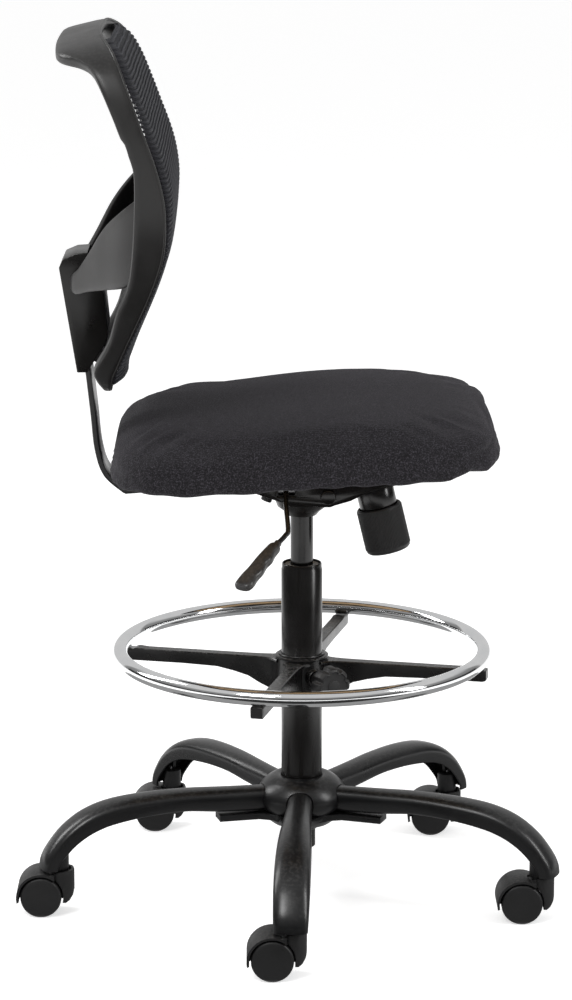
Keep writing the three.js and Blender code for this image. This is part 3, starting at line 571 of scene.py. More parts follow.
def threads(name, lines, radius, material, sides=8, place=None):
    points, edges = [], []
    for line in lines:
        edges += [(len(points) + k, len(points) + k + 1) for k in range(len(line) - 1)]
        points += [tuple(p) for p in line]
    mesh = bpy.data.meshes.new(name)
    mesh.from_pydata(toMetres(points, place).tolist(), edges, [])
    guide = linked(name, mesh)
    made = runTree(guide, "thread", Radius=radius * mm, Sides=sides, Material=material)
    tidyMesh(made.data)
    return made


def screws(name, spots, facing, radius, height, material):
    mesh = bpy.data.meshes.new(name)
    mesh.from_pydata(toMetres(spots).tolist(), [], [])
    way = mesh.attributes.new("facing", "FLOAT_VECTOR", "POINT")
    way.data.foreach_set("vector", np.array(facing, float).ravel())
    guide = linked(name, mesh)
    return runTree(guide, "screws", Head_Radius=radius * mm, Head_Height=height * mm,
                   Material=material)


# Base: five legs, the hub that they are welded to, and the casters' stems
base = {"legs": 5, "firstLeg": -93, "reach": 307, "hubRadius": 56, "hubTop": 152, "hubBottom": 107,
        "shell": 3.2, "socketRadius": 12, "socketBottom": 54, "socketTop": 81}
# distance out, height, width, thickness, slope in degrees, share of open channel underneath
legStations = [(40, 125, 31, 30, 1, 0), (75, 126, 31, 30, 3, 0), (104, 127.2, 33, 29.5, 3, 0),
               (150, 130, 36, 27, 1, 0.1), (200, 129, 40, 26, -4, 0.6),
               (241, 124.5, 42, 25, -14, 1), (271, 114.5, 43, 24, -30, 1),
               (295, 98.5, 43, 22, -45, 1), (312, 79.5, 42, 20, -60, 1),
               (319.5, 67, 41, 18.5, -79, 1), (321.3, 58, 40, 18, -88, 1)]


# Round the top from one side to the other, then back underneath, flat or as a channel
def legSection(wide, thick, openShare):
    a, b, wall = wide / 2, thick / 2, base["shell"]
    ring = []
    for i in range(21):
        t = math.pi * i / 20
        c, s = math.cos(t), math.sin(t)
        r = (abs(c) ** 2.5 + abs(s) ** 2.5) ** (-1 / 2.5)
        ring.append((a * r * c, b * r * s))
    under, channel = [], []
    for i in range(1, 16):
        t = math.pi + math.pi * i / 16
        c, s = math.cos(t), math.sin(t)
        r = (abs(c) ** 3 + abs(s) ** 3) ** (-1 / 3)
        under.append((a * r * c, b * r * s))
    left = [(-a, -0.5 * b), (-a + 0.3, -b + 0.8), (-a + 1.5, -b), (-a + wall, -b + 0.6),
            (-a + wall + 0.4, -0.3 * b), (-a + wall + 2, 0.25 * b), (-0.5 * a, b - wall - 1.4)]
    channel = left + [(0, b - wall)] + [(-y, n) for y, n in left[::-1]]
    return ring + [tuple(np.array(u) * (1 - openShare) + np.array(v) * openShare)
                   for u, v in zip(under, channel)]


def makeLeg(n, angle):
    rings = []
    for out, up, wide, thick, slope, openShare in smooth(legStations, 60):
        c, s = math.cos(math.radians(slope)), math.sin(math.radians(slope))
        rings.append([(out - v * s, y, up + v * c)
                      for y, v in legSection(wide, thick, min(max(openShare, 0), 1))])
    r, low, high = base["socketRadius"], base["socketBottom"], base["socketTop"]
    place = about(turn=angle)
    leg = loft(f"leg_shell_{n}", rings, False, place)
    socket = turned("socket", [(5.9, low), (r - 1, low), (r, low + 1), (r, high - 2), (r - 2, high),
                               (0, high), (0, high - 4), (5.9, high - 4)], 40,
                    about(turn=angle) @ about(base["reach"]))
    web = plate("web", [(base["reach"] + 6, low + 4), (base["reach"] + 16, low + 8),
                        (base["reach"] + 12, 84), (base["reach"] - 4, 98),
                        (base["reach"] - 10, 104), (base["reach"] - 6, 78)], -2, 2, place)
    return finishPiece(joined(f"leg_{n}_shell", [leg, socket, web]), "base", "black_paint",
                       powderCoat, f"leg_{n}")


def makeHub():
    high, low, r = base["hubTop"], base["hubBottom"], base["hubRadius"]
    dome = smooth([(30.5, high), (36, high - 1.2), (45, high - 7), (52.5, high - 16),
                   (r, high - 26), (r - 1.2, high - 34), (r - 6, low + 4), (r - 11, low)],
                  28).tolist()
    inside = [(25.2, low), (25.2, high - 1), (26.5, high)]
    hub = turned("hub", [(x, z) for x, z in dome] + inside, 128)
    knives = []
    for i in range(base["legs"]):
        rings = [[(out, y * 1.07, 125 + v * 1.07) for y, v in legSection(31, 30, 0)]
                 for out in (38, 90)]
        knives.append(loft("knife", rings, False,
                           about(turn=base["firstLeg"] + 360 / base["legs"] * i)))
    cut(hub, *knives)
    softEdges(hub, 0.8, 2, 40)
    return finishPiece(hub, "base", "black_paint", powderCoat, "base_hub")


def makeStem(n, place):
    stem = turned(f"caster_{n}_stem", [(0, 27), (5.5, 27), (5.5, 51.4), (8.6, 51.4), (9, 51.8),
                                       (9, 53.2), (8.6, 53.7), (5.5, 53.7), (5.5, 76), (4, 77.5),
                                       (0, 78)], 32, place)
    return finishPiece(stem, "base", "bright_steel", zinc, f"caster_stem_{n}")


stemPlaces = []
for i in range(base["legs"]):
    angle = base["firstLeg"] + 360 / base["legs"] * i
    makeLeg(i + 1, angle)
    across = math.radians(angle)
    stemPlaces.append(about(base["reach"] * math.cos(across), base["reach"] * math.sin(across)))
    makeStem(i + 1, stemPlaces[-1])
    pin = turned(f"leg_{i + 1}_stem_tip", [(0, 79), (4.6, 79), (4.6, 83), (3.4, 84.6), (0, 85)], 24,
                 stemPlaces[-1])
    finishPiece(pin, "base", "bright_steel", zinc)
makeHub()
finishPiece(fromNode("base_star_brace", "base_brace", 0.8), "base", "black_paint", powderCoat,
            "base_brace")
print("base made")

# Casters: a hood over two wheels, drawn about the stem with the wheels behind it
caster = {"trail": 21.7, "wheelRadius": 25, "inner": 6.5, "outer": 24.5, "hoodInside": 27.2,
          "hoodOutside": 30, "front": 18.5, "top": 57}


def makeHood():
    trail, mid, half = caster["trail"], caster["wheelRadius"], caster["outer"]
    arc = []
    for i in range(49):
        t = math.radians(192 - 124 * i / 48)
        arc.append((-trail + caster["hoodOutside"] * math.cos(t),
                    mid + caster["hoodOutside"] * math.sin(t)))
    front = [(1, caster["top"] - 1.2), (16.5, caster["top"] - 0.6), (18.5, caster["top"] - 2.6),
             (18.5, 31), (17, 25), (13, 19.5), (8.5, 16.8), (4.6, 17.4)]
    inner = [(-trail + 29 * math.cos(math.radians(a)), mid + 29 * math.sin(math.radians(a)))
             for a in (-12,)]
    rear = [(-trail - 22, mid - 2.5)]
    body = plate("hood", arc + front + inner + rear, -half, half)
    trim = turned("trim", [(caster["front"], 0), (80, 0), (80, 80), (caster["front"], 80)], 96)
    keep = plate("keep", [(-5, -5), (90, -5), (90, 90), (-5, 90)], -60, 60)
    cut(trim, keep, operation="INTERSECT")
    cut(body, trim)
    lay = Matrix.Translation((-trail, 0, mid)) @ Matrix.Rotation(math.pi / 2, 4, "X")
    web = caster["inner"] - 1
    for low, high in ((web, 60), (-60, -web)):
        cut(body, turned("room", [(0, low), (caster["hoodInside"], low),
                                  (caster["hoodInside"], high), (0, high)], 96, lay))
    cut(body, turned("recess", [(0, 51), (14.5, 51), (15.5, 60), (0, 60)], 48))
    cut(body, turned("stem hole", [(0, 20), (6, 20), (6, 55), (0, 55)], 24))
    return softEdges(body, 0.7, 2, 40)


def makeWheelShape(side):
    r, low, high = caster["wheelRadius"], caster["inner"], caster["outer"]
    face = smooth([(r, high - 4.6), (r - 0.7, high - 2.4), (r - 3, high - 1.1),
                   (r - 9, high - 0.35), (r - 16, high - 0.05), (0, high)], 20).tolist()
    profile = [(0, high - 4), (3.3, high - 4), (3.3, low + 2), (r - 8, low + 2), (r - 7, low),
               (r - 1, low), (r, low + 1.2)] + face
    lay = Matrix.Translation((-caster["trail"], 0, r)) @ Matrix.Rotation(math.radians(-90 * side),
        4, "X")
    return turned("wheel", profile, 96, lay)


hood, wheelShapes = makeHood(), {"left": makeWheelShape(1), "right": makeWheelShape(-1)}
for n, place in enumerate(stemPlaces, 1):
    finishPiece(copied(hood, f"caster_{n}_hood", place), f"caster_{n}", "black_plastic",
                casterPlastic, f"caster_body_{n}")
    for side, shape in wheelShapes.items():
        finishPiece(copied(shape, f"caster_{n}_wheel_{side}", place), f"wheel_{n}_{side}",
                    "black_plastic", casterPlastic, f"wheel_{n}_{side}")
for spare in (hood, *wheelShapes.values()):
    bpy.data.objects.remove(spare)
print("casters made")

# Column and gas lift
lift = {"tube": 25, "wall": 2.2, "top": 420, "foot": 59, "cylinder": 13.75, "taper": 500,
        "end": 527}


def makeColumn():
    r, top, foot = lift["tube"], lift["top"], lift["foot"]
    tube = turned("column", [(5.3, foot), (16, foot), (17, foot + 1), (17, foot + 22),
                             (r - 0.6, foot + 29), (r, foot + 31), (r, top - 7.5),
                             (r - 0.7, top - 6.4), (r - 0.7, top - 1.6), (r - 1.2, top - 0.4),
                             (r - 1.8, top), (r - lift["wall"], top - 0.3),
                             (r - lift["wall"], foot + 33), (14.55, foot + 26), (14.55, foot + 3),
                             (5.3, foot + 3)], 128)
    finishPiece(tube, "base", "dark_steel", enamel, "column_tube")
    bush = turned("column_bush_ring", [(14.05, 330), (22.6, 330), (22.6, top - 3.4),
                                       (21.8, top - 2.6), (18.4, top - 2.2), (17.6, top - 3),
                                       (16.2, top - 3), (15.4, top - 2), (14.4, top - 2),
                                       (14.05, top - 2.5)], 96)
    finishPiece(bush, "base", "grey_plastic", bushPlastic, "column_bush")
    r = lift["cylinder"]
    inner = turned("gas_lift_tube", [(5.3, 78), (r - 0.8, 78), (r, 79), (r, lift["taper"]),
                                     (r - 1, lift["end"] - 1), (r - 1.8, lift["end"]),
                                     (4.3, lift["end"]), (4.3, 498), (r - 2.2, 498), (r - 2.2, 90),
                                     (5.3, 90)], 96)
    finishPiece(inner, "lift", "dark_steel", enamel, "gas_cylinder")


makeColumn()
for name in ("piston_rod", "thrust_bearing", "release_button", "tension_bolt", "tension_nut",
             "tilt_lock", *(f"caster_axle_{n}" for n in range(1, 6))):
    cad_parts[name].data.materials.clear()
    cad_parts[name].data.materials.append(zinc)
print("column made")

# Foot ring on its four-spoke spider
footRing = {"radius": 222.7, "tube": 9.5, "height": 309.2, "spokes": 4, "firstSpoke": -14,
            "collarIn": 26.9, "collarOut": 30.8, "collarTop": 305, "collarBottom": 256,
            "clampTurn": -62, "clampHeight": 282}


def makeRing():
    section = [(footRing["radius"] + footRing["tube"] * math.cos(2 * math.pi * k / 32),
                footRing["height"] + footRing["tube"] * math.sin(2 * math.pi * k / 32))
               for k in range(32)]
    return finishPiece(turned("chrome_foot_ring", section, 256), "foot_rest", "chrome", chrome,
                       "foot_ring", crease=60)


# along a spoke: distance out, underside, top, half width at the top
spokeStations = [(28, 259, 299.4, 17), (34, 259.5, 299.8, 12.5), (41, 261, 300, 10),
                 (52, 266, 300, 8.6), (66, 274, 300, 8.1), (84, 279, 300, 8), (106, 283.4, 300, 8),
                 (150, 284.6, 300, 8), (196, 284.6, 300, 8), (206, 284.6, 301, 8),
                 (209.5, 284.6, 301, 8), (213, 284.6, 299.2, 8), (226, 284.6, 299.2, 8),
                 (229.5, 285.6, 299.2, 7.6), (231, 287, 298.6, 7)]


def makeSpider():
    low, high, r = footRing["collarBottom"], footRing["collarTop"], footRing["collarOut"]
    collar = turned("collar", [(footRing["collarIn"], low), (r - 0.6, low), (r, low + 0.6),
                               (r, high - 4), (r + 1.4, high - 3.4), (r + 2, high - 2.4),
                               (r + 1.6, high - 0.8), (r, high), (footRing["collarIn"], high)], 128)
    parts = [collar]
    for i in range(footRing["spokes"]):
        rings = []
        for out, under, top, half in spokeStations:
            soft, foot = 1.2, min(half, 7.4)
            rings.append([(out, -foot, under + soft), (out, -foot + soft, under),
                          (out, foot - soft, under), (out, foot, under + soft),
                          (out, 8 if half > 8 else half, top - 6), (out, half, top - 3.2),
                          (out, half, top - soft), (out, half - soft, top),
                          (out, -half + soft, top), (out, -half, top - soft),
                          (out, -half, top - 3.2), (out, -8 if half > 8 else -half, top - 6)])
        parts.append(loft("spoke", rings, False, about(turn=footRing["firstSpoke"] + 90 * i)))
    place = about(z=footRing["clampHeight"], turn=footRing["clampTurn"], lean=90)
    parts.append(turned("boss", [(4.4, 28), (11, 28), (11, r + 6.6), (10, r + 7.6), (4.4, r + 7.6)],
                        40, place))
    return finishPiece(joined("ring_spider_arms", parts), "foot_rest", "black_paint", spiderPaint,
                       "ring_spider")


def makeClampKnob():
    lobes, steps = 8, 160
    heights = [(40.2, 9, 0), (47, 9.4, 0), (55, 12, 0), (60, 15, 0.5), (62.2, 19.5, 1),
               (63.4, 21.6, 1), (66, 22.9, 1), (78, 22.9, 1), (81, 21.9, 1), (82.6, 20.2, 0.9),
               (82.9, 18.6, 0.7), (81.4, 17.2, 0.4), (80.8, 12, 0), (80.8, 8.2, 0), (81.8, 7.6, 0),
               (82.2, 6.4, 0), (82.2, 0.6, 0)]
    rings = []
    for z, r, wave in heights:
        line = []
        for k in range(steps):
            t = 2 * math.pi * k / steps
            dip = max(0.0, -math.cos(lobes * t)) ** 1.6
            line.append(((r - 3.6 * wave * dip) * math.cos(t), (r - 3.6 * wave * dip) * math.sin(t),
                         z))
        rings.append(line)
    place = about(z=footRing["clampHeight"], turn=footRing["clampTurn"], lean=90)
    knob = loft("clamp_knob_head", rings, False, place)
    screw = turned("screw", [(0, 27.4), (4, 27.4), (4, 41), (0, 41)], 24, place)
    return finishPiece(joined("foot_ring_clamp_knob", [knob, screw]), "ring_knob", "grey_plastic",
                       knobPlastic, "ring_clamp_knob")


makeRing()
makeSpider()
makeClampKnob()
sleeve = turned("ring_split_sleeve", [(25.3, 254), (26.6, 254), (26.6, 304), (28.4, 305.4),
                                      (28.6, 306.4), (28.2, 307), (25.3, 307)], 128)
finishPiece(sleeve, "ring_sleeve", "grey_plastic", spiderPaint, "ring_sleeve")
print("foot ring made")

# Tilt mechanism under the seat
for name, edge, body, slot, material in (
        ("mechanism_housing", 0.9, "lift", "dark_steel", housingPlastic),
        ("tilt_pin", 0.7, "lift", "dark_steel", enamel),
        ("seat_plate", 0.5, "seat", "dark_steel", enamel),
        ("stop_screw", 0.3, "lift", "black_plastic", casterPlastic)):
    finishPiece(fromNode(f"{name}_body", name, edge), body, slot, material, name)

# Tension spring: cup, spring and knob, drawn along the leaning bolt
tension = {"x": 93, "z": 491.5, "lean": -13.4, "cupOutside": 23, "cupTop": 28, "knobRadius": 28.2,
           "knobLong": 58, "knurls": 92, "springRadius": 15.5, "wire": 2.2, "turns": 5}
boltPlace = about(tension["x"], 0, tension["z"], 0, tension["lean"])


def makeTension():
    r, top, low = tension["cupOutside"], tension["cupTop"], -tension["knobLong"]
    cup = turned("cup", [(7, top - 3), (r - 2.6, top - 3), (r - 2, top - 3.6), (r - 2, -7.4),
                         (r - 1.6, -8), (r - 0.4, -8), (r, -7.4), (r, top - 1.6), (r - 1.2, top),
                         (7, top)], 96, boltPlace)
    finishPiece(cup, "lift", "dark_steel", enamel, "spring_cup")
    spring = [[(tension["springRadius"] * math.cos(t), tension["springRadius"] * math.sin(t),
                -45.2 + (22.2 + 45.2) * t / (2 * math.pi * tension["turns"]))
               for t in np.linspace(0, 2 * math.pi * tension["turns"], 24 * tension["turns"] + 1)]]
    coil = threads("tension_spring_coil", spring, tension["wire"], zinc, 14, boltPlace)
    finishPiece(coil, "lift", "bright_steel", zinc, "tilt_spring")
    r = tension["knobRadius"]
    shell = [(0, low), (r - 7, low), (r - 3.6, low + 0.8), (r - 1.6, low + 2.6), (r - 1, low + 5.5),
             (r - 0.9, -3.6), (r - 1.4, -1.8), (r - 2.2, -1), (24, -1), (24, low + 5.7),
             (0, low + 5.7)]
    knob = turned("knob", shell, 128, boltPlace)
    guide = newPiece("tension_knob_ribs", [(0, 0, 0)], [])
    ribs = runTree(guide, "ribs", Count=tension["knurls"], Barrel_Radius=(r - 0.9) * mm,
                   Rib_Radius=0.62 * mm, Length=(tension["knobLong"] - 9.5) * mm,
                   Material=knobPlastic)
    ribs.data.transform(Matrix.Translation(column))
    middle = (low + 6 - 3.5) / 2
    barrel = copied(ribs, "ribs", boltPlace @ about(z=middle))
    bpy.data.objects.remove(ribs)
    finishPiece(joined("tension_knob_barrel", [knob, barrel]), "knob", "grey_plastic", knobPlastic,
                "tension_knob")


makeTension()

# Lever: a bent rod in a moulded grip with finger notches
lever = {"rod": 3, "start": (-32, -147, 475.5), "way": (-41, -57, -38)}
leverPath = [(0, 9, 541), (0, -6, 541), (-8, -22, 534), (-16, -36, 526), (-19, -46, 523),
             (-20, -62, 518), (-20, -85, 509), (-18, -132, 491), (-21, -140, 486), lever["start"]]
gripStations = [(0, 4.6, 5, 0), (2.5, 6, 6.6, 0), (6, 6.6, 7.4, 0), (16, 6.9, 8.6, 1.2),
                (26, 7, 9.5, -0.6), (36, 6.6, 10, 1.4), (48, 6.2, 10.4, -0.8), (59, 6.5, 11.6, 1.4),
                (70, 6.1, 11.8, -0.2), (76, 5.6, 11, 0), (79, 4.4, 9, 0), (80, 2.6, 6.4, 0)]


def makeLever():
    way = Vector(lever["way"]).normalized()
    side = Vector((0, 0, 1)).cross(way).normalized()
    up = way.cross(side)
    start = Vector(lever["start"])
    line = smooth(leverPath + [tuple(start + way * 22)], 120).tolist()
    rod = threads("lever_bent_rod", [line], lever["rod"], enamel, 20)
    finishPiece(rod, "lever", "dark_steel", enamel, "lever_rod", crease=60)
    rings = []
    for s, thick, wide, notch in smooth(gripStations, 60):
        ring = []
        for a, b in rounded(thick, wide, 40, 2.8):
            pinch = notch * max(0.0, -b / wide) ** 2
            spot = start + way * s + up * a - side * (b + pinch)
            ring.append(tuple(spot))
        rings.append(ring)
    finishPiece(loft("lever_grip_body", rings), "lever", "grey_plastic", gripPlastic, "lever_grip")
    collar = [start + way * s for s in (-5, 1)]
    sleeve = threads("collar", [[tuple(p) for p in collar]], 4.4, gripPlastic, 24)
    finishPiece(softEdges(sleeve, 0.5, 2, 40), "lever", "grey_plastic", gripPlastic)


makeLever()
print("mechanism made")

# Seat: plywood board and a padded cushion drawn down over its edge
seat = {"base": 562, "slope": -4, "long": 458, "wide": 476, "middle": 3, "boardInset": 16,
        "boardThick": 12, "thick": 66, "square": 4.6, "swell": 5, "voxel": 6, "hemWave": 1.6,
        "creaseDepth": 2.2, "pressure": 4, "frames": 20, "footHeight": 8, "hemOut": 4.5,
        "hemDrop": 1.6, "frontDrop": 5.5, "frontFall": 12, "middleFall": 4}
seatPlace = about(z=seat["base"], lean=seat["slope"])
# height above the board's underside, inset from the outline
cushionStations = [(-1, 13), (1.5, 9), (3.5, 6.5), (6.5, 4), (12, 1.2), (18, 0), (25, 0.4),
                   (32, 1.5), (38.5, 4), (44, 8), (48.5, 13), (52, 19), (55.5, 27), (58, 36),
                   (60.3, 48), (62, 62), (63.6, 82), (65, 105), (66.2, 135), (66.5, 165),
                   (66.5, 200)]


def seatOutline(inset, count=120):
    corner = max(2.2, seat["square"] - inset / 60)
    return [(x + seat["middle"], y) for x, y in rounded(seat["long"] / 2 - inset,
                                                        seat["wide"] / 2 - inset, count, corner)]


# The pad blown up as cloth over its filling, held where it lies on the board
def swollen(pad):
    start = pointsOf(pad.data)
    low = toPlace(start, seatPlace)[:, 2] < seat["boardThick"] - 2
    held = pad.vertex_groups.new(name="held")
    held.add([int(i) for i in np.nonzero(low)[0]], 1.0, "REPLACE")
    cloth = pad.modifiers.new("swell", "CLOTH")
    cloth.settings.vertex_group_mass = "held"
    cloth.settings.use_pressure = True
    cloth.settings.uniform_pressure_force = seat["pressure"]
    cloth.settings.effector_weights.gravity = 0
    cloth.settings.quality = 5
    cloth.point_cache.frame_start, cloth.point_cache.frame_end = 1, seat["frames"]
    for step in range(1, seat["frames"] + 1):
        bpy.context.scene.frame_set(step)
    bake(pad)
    bpy.context.scene.frame_set(1)
    moved = pointsOf(pad.data) - start
    far = np.linalg.norm(moved, axis=1, keepdims=True)
    moved *= np.minimum(1, seat["swell"] * mm / np.maximum(far, 1e-9))
    pad.data.vertices.foreach_set("co", (start + moved).ravel())
    pad.data.update()
    pad.vertex_groups.clear()
    return pad


# Soft folds at the front and the pull at its corners, as a depth for each point
def creases(local):
    x, y, z = local.T
    front = np.clip((x - 150) / 60, 0, 1)
    side = np.clip((np.abs(y) - 165) / 60, 0, 1)
    depth = np.zeros(len(x))
    for height, drift, width, where, strength in ((40, 0.05, 4.0, -60, 0.9),
                                                  (30, -0.09, 3.5, 40, 0.8),
                                                  (24, 0.12, 3.2, -150, 1.1),
                                                  (34, -0.16, 3.4, 170, 1.2)):
        line = height + drift * (y - where)
        reach = np.exp(-((y - where) / 85) ** 2)
        depth += strength * reach * front * np.exp(-((z - line) / width) ** 2)
    for height, drift, where in ((28, 0.10, 120), (36, -0.08, -40), (24, 0.07, -140)):
        line = height + drift * (x - where)
        depth += 0.9 * side * np.exp(-((x - where) / 70) ** 2) * np.exp(-((z - line) / 3.6) ** 2)
    pull = np.exp(-(((np.abs(y) - 200) / 26) ** 2)) * np.clip((x - 165) / 30, 0, 1)
    depth += 1.4 * pull * np.exp(-((z - 12) / 9) ** 2)
    return depth * seat["creaseDepth"]


def makeCushion():
    room = 2  # for the swelling
    rings = []
    for z, inset in cushionStations:
        rings.append([(x, y, z + (0.8 if z > 20 else 0)) for x, y in seatOutline(inset + room)])
    pad = loft("seat_cushion_pad", rings, False, seatPlace)
    remesh = pad.modifiers.new("even", "REMESH")
    remesh.mode, remesh.voxel_size = "VOXEL", seat["voxel"] * mm
    bake(pad)
    swollen(pad)
    subdivide(pad)
    mesh = pad.data
    facing = np.zeros(len(mesh.vertices) * 3)
    mesh.vertex_normals.foreach_get("vector", facing)
    local = toPlace(pointsOf(mesh), seatPlace)
    normal = facing.reshape(-1, 3) @ np.array(seatPlace.inverted())[:3, :3].T
    out = local[:, :2] - (seat["middle"], 0)
    out *= (seat["long"] / 2, seat["wide"] / 2) / np.abs(out).max(axis=0)
    local[:, :2] = out + (seat["middle"], 0)
    z, foot = local[:, 2], seat["footHeight"]
    local[:, 2] = np.where(z > foot, foot + (z - foot) * (seat["thick"] - foot) / (z.max() - foot),
                           z)
    x, y, z = local.T.copy()
    local -= normal * creases(local)[:, None]
    around = np.arctan2(y / seat["wide"], (x - seat["middle"]) / seat["long"])
    outward = np.maximum(np.abs(x) / (seat["long"] / 2), np.abs(y) / (seat["wide"] / 2))
    rim = np.exp(-((z - 2) / 9) ** 2) * np.clip((outward - 0.8) / 0.12, 0, 1)
    low = rim[:, None] * np.clip((24 - z) / 16, 0, 1)[:, None]
    local[:, :2] += seat["hemOut"] * normal[:, :2] * low
    drop = seat["hemDrop"] + seat["frontDrop"] * np.clip((x - 40) / 150, 0, 1)
    local[:, 2] -= drop * rim * np.clip((20 - z) / 14, 0, 1)
    wave = np.sin(around * 46 + 1.3 * np.sin(around * 7)) * 0.6 + np.sin(around * 83 + 2) * 0.4
    local[:, :2] += normal[:, :2] * (seat["hemWave"] * rim * wave)[:, None]
    local[:, 2] += 0.9 * rim * (np.sin(around * 31 + 2 * np.sin(around * 5)) - 0.6)
    fall = seat["frontFall"] * np.clip((x - 30) / 190, 0, 1) ** 1.6
    fall += seat["middleFall"] * np.exp(-((x + 80) / 60) ** 2)
    local[:, 2] -= fall * np.clip((z - 30) / 30, 0, 1)
    mesh.vertices.foreach_set("co", toMetres(local, seatPlace).ravel())
    mesh.update()
    inset, deep = seat["boardInset"] - 0.4, seat["boardThick"] + 0.3
    room = loft("room", [[(x, y, z) for x, y in seatOutline(inset)] for z in (-20, deep)], False,
                seatPlace)
    cut(pad, room)
    piece = finishPiece(pad, "seat", "seat_fabric", seatCloth, "seat_cushion", crease=70)


def makeBoard():
    high = seat["boardThick"]
    rings = []
    for z, inset in ((0, 1.2), (0.4, 0.4), (1.2, 0), (high - 1.2, 0), (high - 0.4, 0.4),
                     (high, 1.2)):
        rings.append([(x, y, z) for x, y in seatOutline(seat["boardInset"] + inset)])
    finishPiece(loft("seat_board_ply", rings, False, seatPlace), "seat", "plywood", plywood,
                "seat_board")


# The strip of cloth turned under the board, and the staples through it
hem = {"wide": 26, "thick": 1.0, "metres": 1.69, "steps": 240, "staples": 60, "wire": 0.45,
       "stapleHalf": 5, "stapleIn": -0.6, "stapleOut": -1.9}


def makeHem():
    rings, steps = [], hem["steps"]
    rims = [seatOutline(seat["boardInset"] + g, steps) for g in (1.5, hem["wide"])]
    for k in range(steps):
        t = 2 * math.pi * k / steps
        ruffle = 0.35 * math.sin(40 * t + math.sin(9 * t)) + 0.2 * math.sin(95 * t)
        edge = 2.2 * math.sin(17 * t + 2 * math.sin(4 * t))
        (ax, ay), (bx, by) = rims[0][k], rims[1][k]
        out = Vector((ax - bx, ay - by)).normalized()
        bx, by = bx + out.x * edge, by + out.y * edge
        low = -hem["thick"] - 0.25 - ruffle * 0.5
        rings.append([(ax, ay, -0.12), (ax, ay, low - 0.2),
                      ((ax + bx) / 2, (ay + by) / 2, low - 0.1 + 0.3 * ruffle), (bx, by, low + 0.2),
                      (bx, by, -0.12)])
    strip = finishPiece(loft("seat_hem_strip", rings, True, seatPlace), "seat", "seat_fabric",
                        seatCloth)
    staples = []
    for k in range(hem["staples"]):
        at = int((k + 0.5) / hem["staples"] * steps)
        (ax, ay), (bx, by) = rims[0][at], rims[1][at]
        x, y = ax * 0.35 + bx * 0.65, ay * 0.35 + by * 0.65
        way = Vector((ay - by, bx - ax)).normalized() * hem["stapleHalf"]
        staples.append([(x + end * way.x, y + end * way.y, hem[deep]) for end, deep in (
            (-1, "stapleIn"), (-1, "stapleOut"), (1, "stapleOut"), (1, "stapleIn"))])
    made = threads("seat_staples", staples, hem["wire"], zinc, 6, seatPlace)
    finishPiece(made, "seat", "bright_steel", zinc)


makeBoard()
makeCushion()
makeHem()
print("seat made")

# Back: a flat bar bent up behind the seat, a bracket on it, and a rail frame with two arms
back = {"barWide": 60, "barThick": 8, "kneeX": -255.5, "kneeZ": 657, "lean": 8.9, "railThick": 15,
        "armThick": 9, "barSlope": 0.06993, "bead": 1.7, "hookDrop": 0.24}
railFront = [(640, -231), (650, -227), (672, -223), (690, -215.5), (713, -205.5), (751, -188),
             (774, -178), (800, -168), (825, -161), (852, -158), (888, -159), (927, -168),
             (970, -183.5), (1000, -194.5), (1030, -206.5), (1051, -218), (1066, -233),
             (1085, -248)]
railRear = [(640, -229), (650, -231), (660, -236), (672, -243), (684, -244), (717, -227),
            (755, -216), (776, -207), (800, -200), (850, -195), (915, -193), (941, -199),
            (954, -203), (960, -207.5), (989, -219), (1028, -237), (1044, -252), (1060, -283),
            (1085, -286)]
frameHalf = [(0, 655), (58, 654), (104, 662), (133, 695), (160, 754), (182, 806), (199, 860),
             (206, 920), (206, 972), (200, 1012), (185, 1038), (158, 1054), (118, 1063), (66, 1067),
             (0, 1068)]
# x, then y and z of the lower edge, then y and z of the upper edge
armStations = [(-170, 184, 806, 204.5, 905), (-203, 158, 784, 176, 878), (-228, 124, 775, 132, 850),
               (-248, 91, 768, 93, 815), (-262, 66, 761, 66, 792), (-268, 54, 760, 54, 785),
               (-271, 42.8, 763, 42.8, 779)]


def onSlide(s):
    lean = math.radians(back["lean"])
    return back["kneeX"] - s * math.sin(lean), back["kneeZ"] + s * math.cos(lean)


def barLine(x):
    return seat["base"] - 28 - back["barThick"] / 2 + back["barSlope"] * x


def makeBar():
    bend = smooth([onSlide(0), (-250.5, 610), (-246, 566), (-236, 536), (-213, barLine(-213))],
                  48).tolist()
    line = np.array([onSlide(112), onSlide(60), *bend, (-140, barLine(-140)), (-60, barLine(-60))])
    ahead = np.gradient(line, axis=0)
    ahead /= np.linalg.norm(ahead, axis=1, keepdims=True)
    rings = []
    for (x, z), (dx, dz) in zip(line, ahead):
        rings.append([(x - dz * n, y, z + dx * n)
                      for y, n in rounded(back["barWide"] / 2, back["barThick"] / 2, 32, 9)])
    finishPiece(loft("back_bar_bent", rings), "seat", "black_paint", powderCoat, "back_bar")


def frameLoop(count):
    half = smooth(frameHalf, count // 2)
    rear = half[1:-1][::-1] * (-1, 1)
    return np.vstack([half, rear])


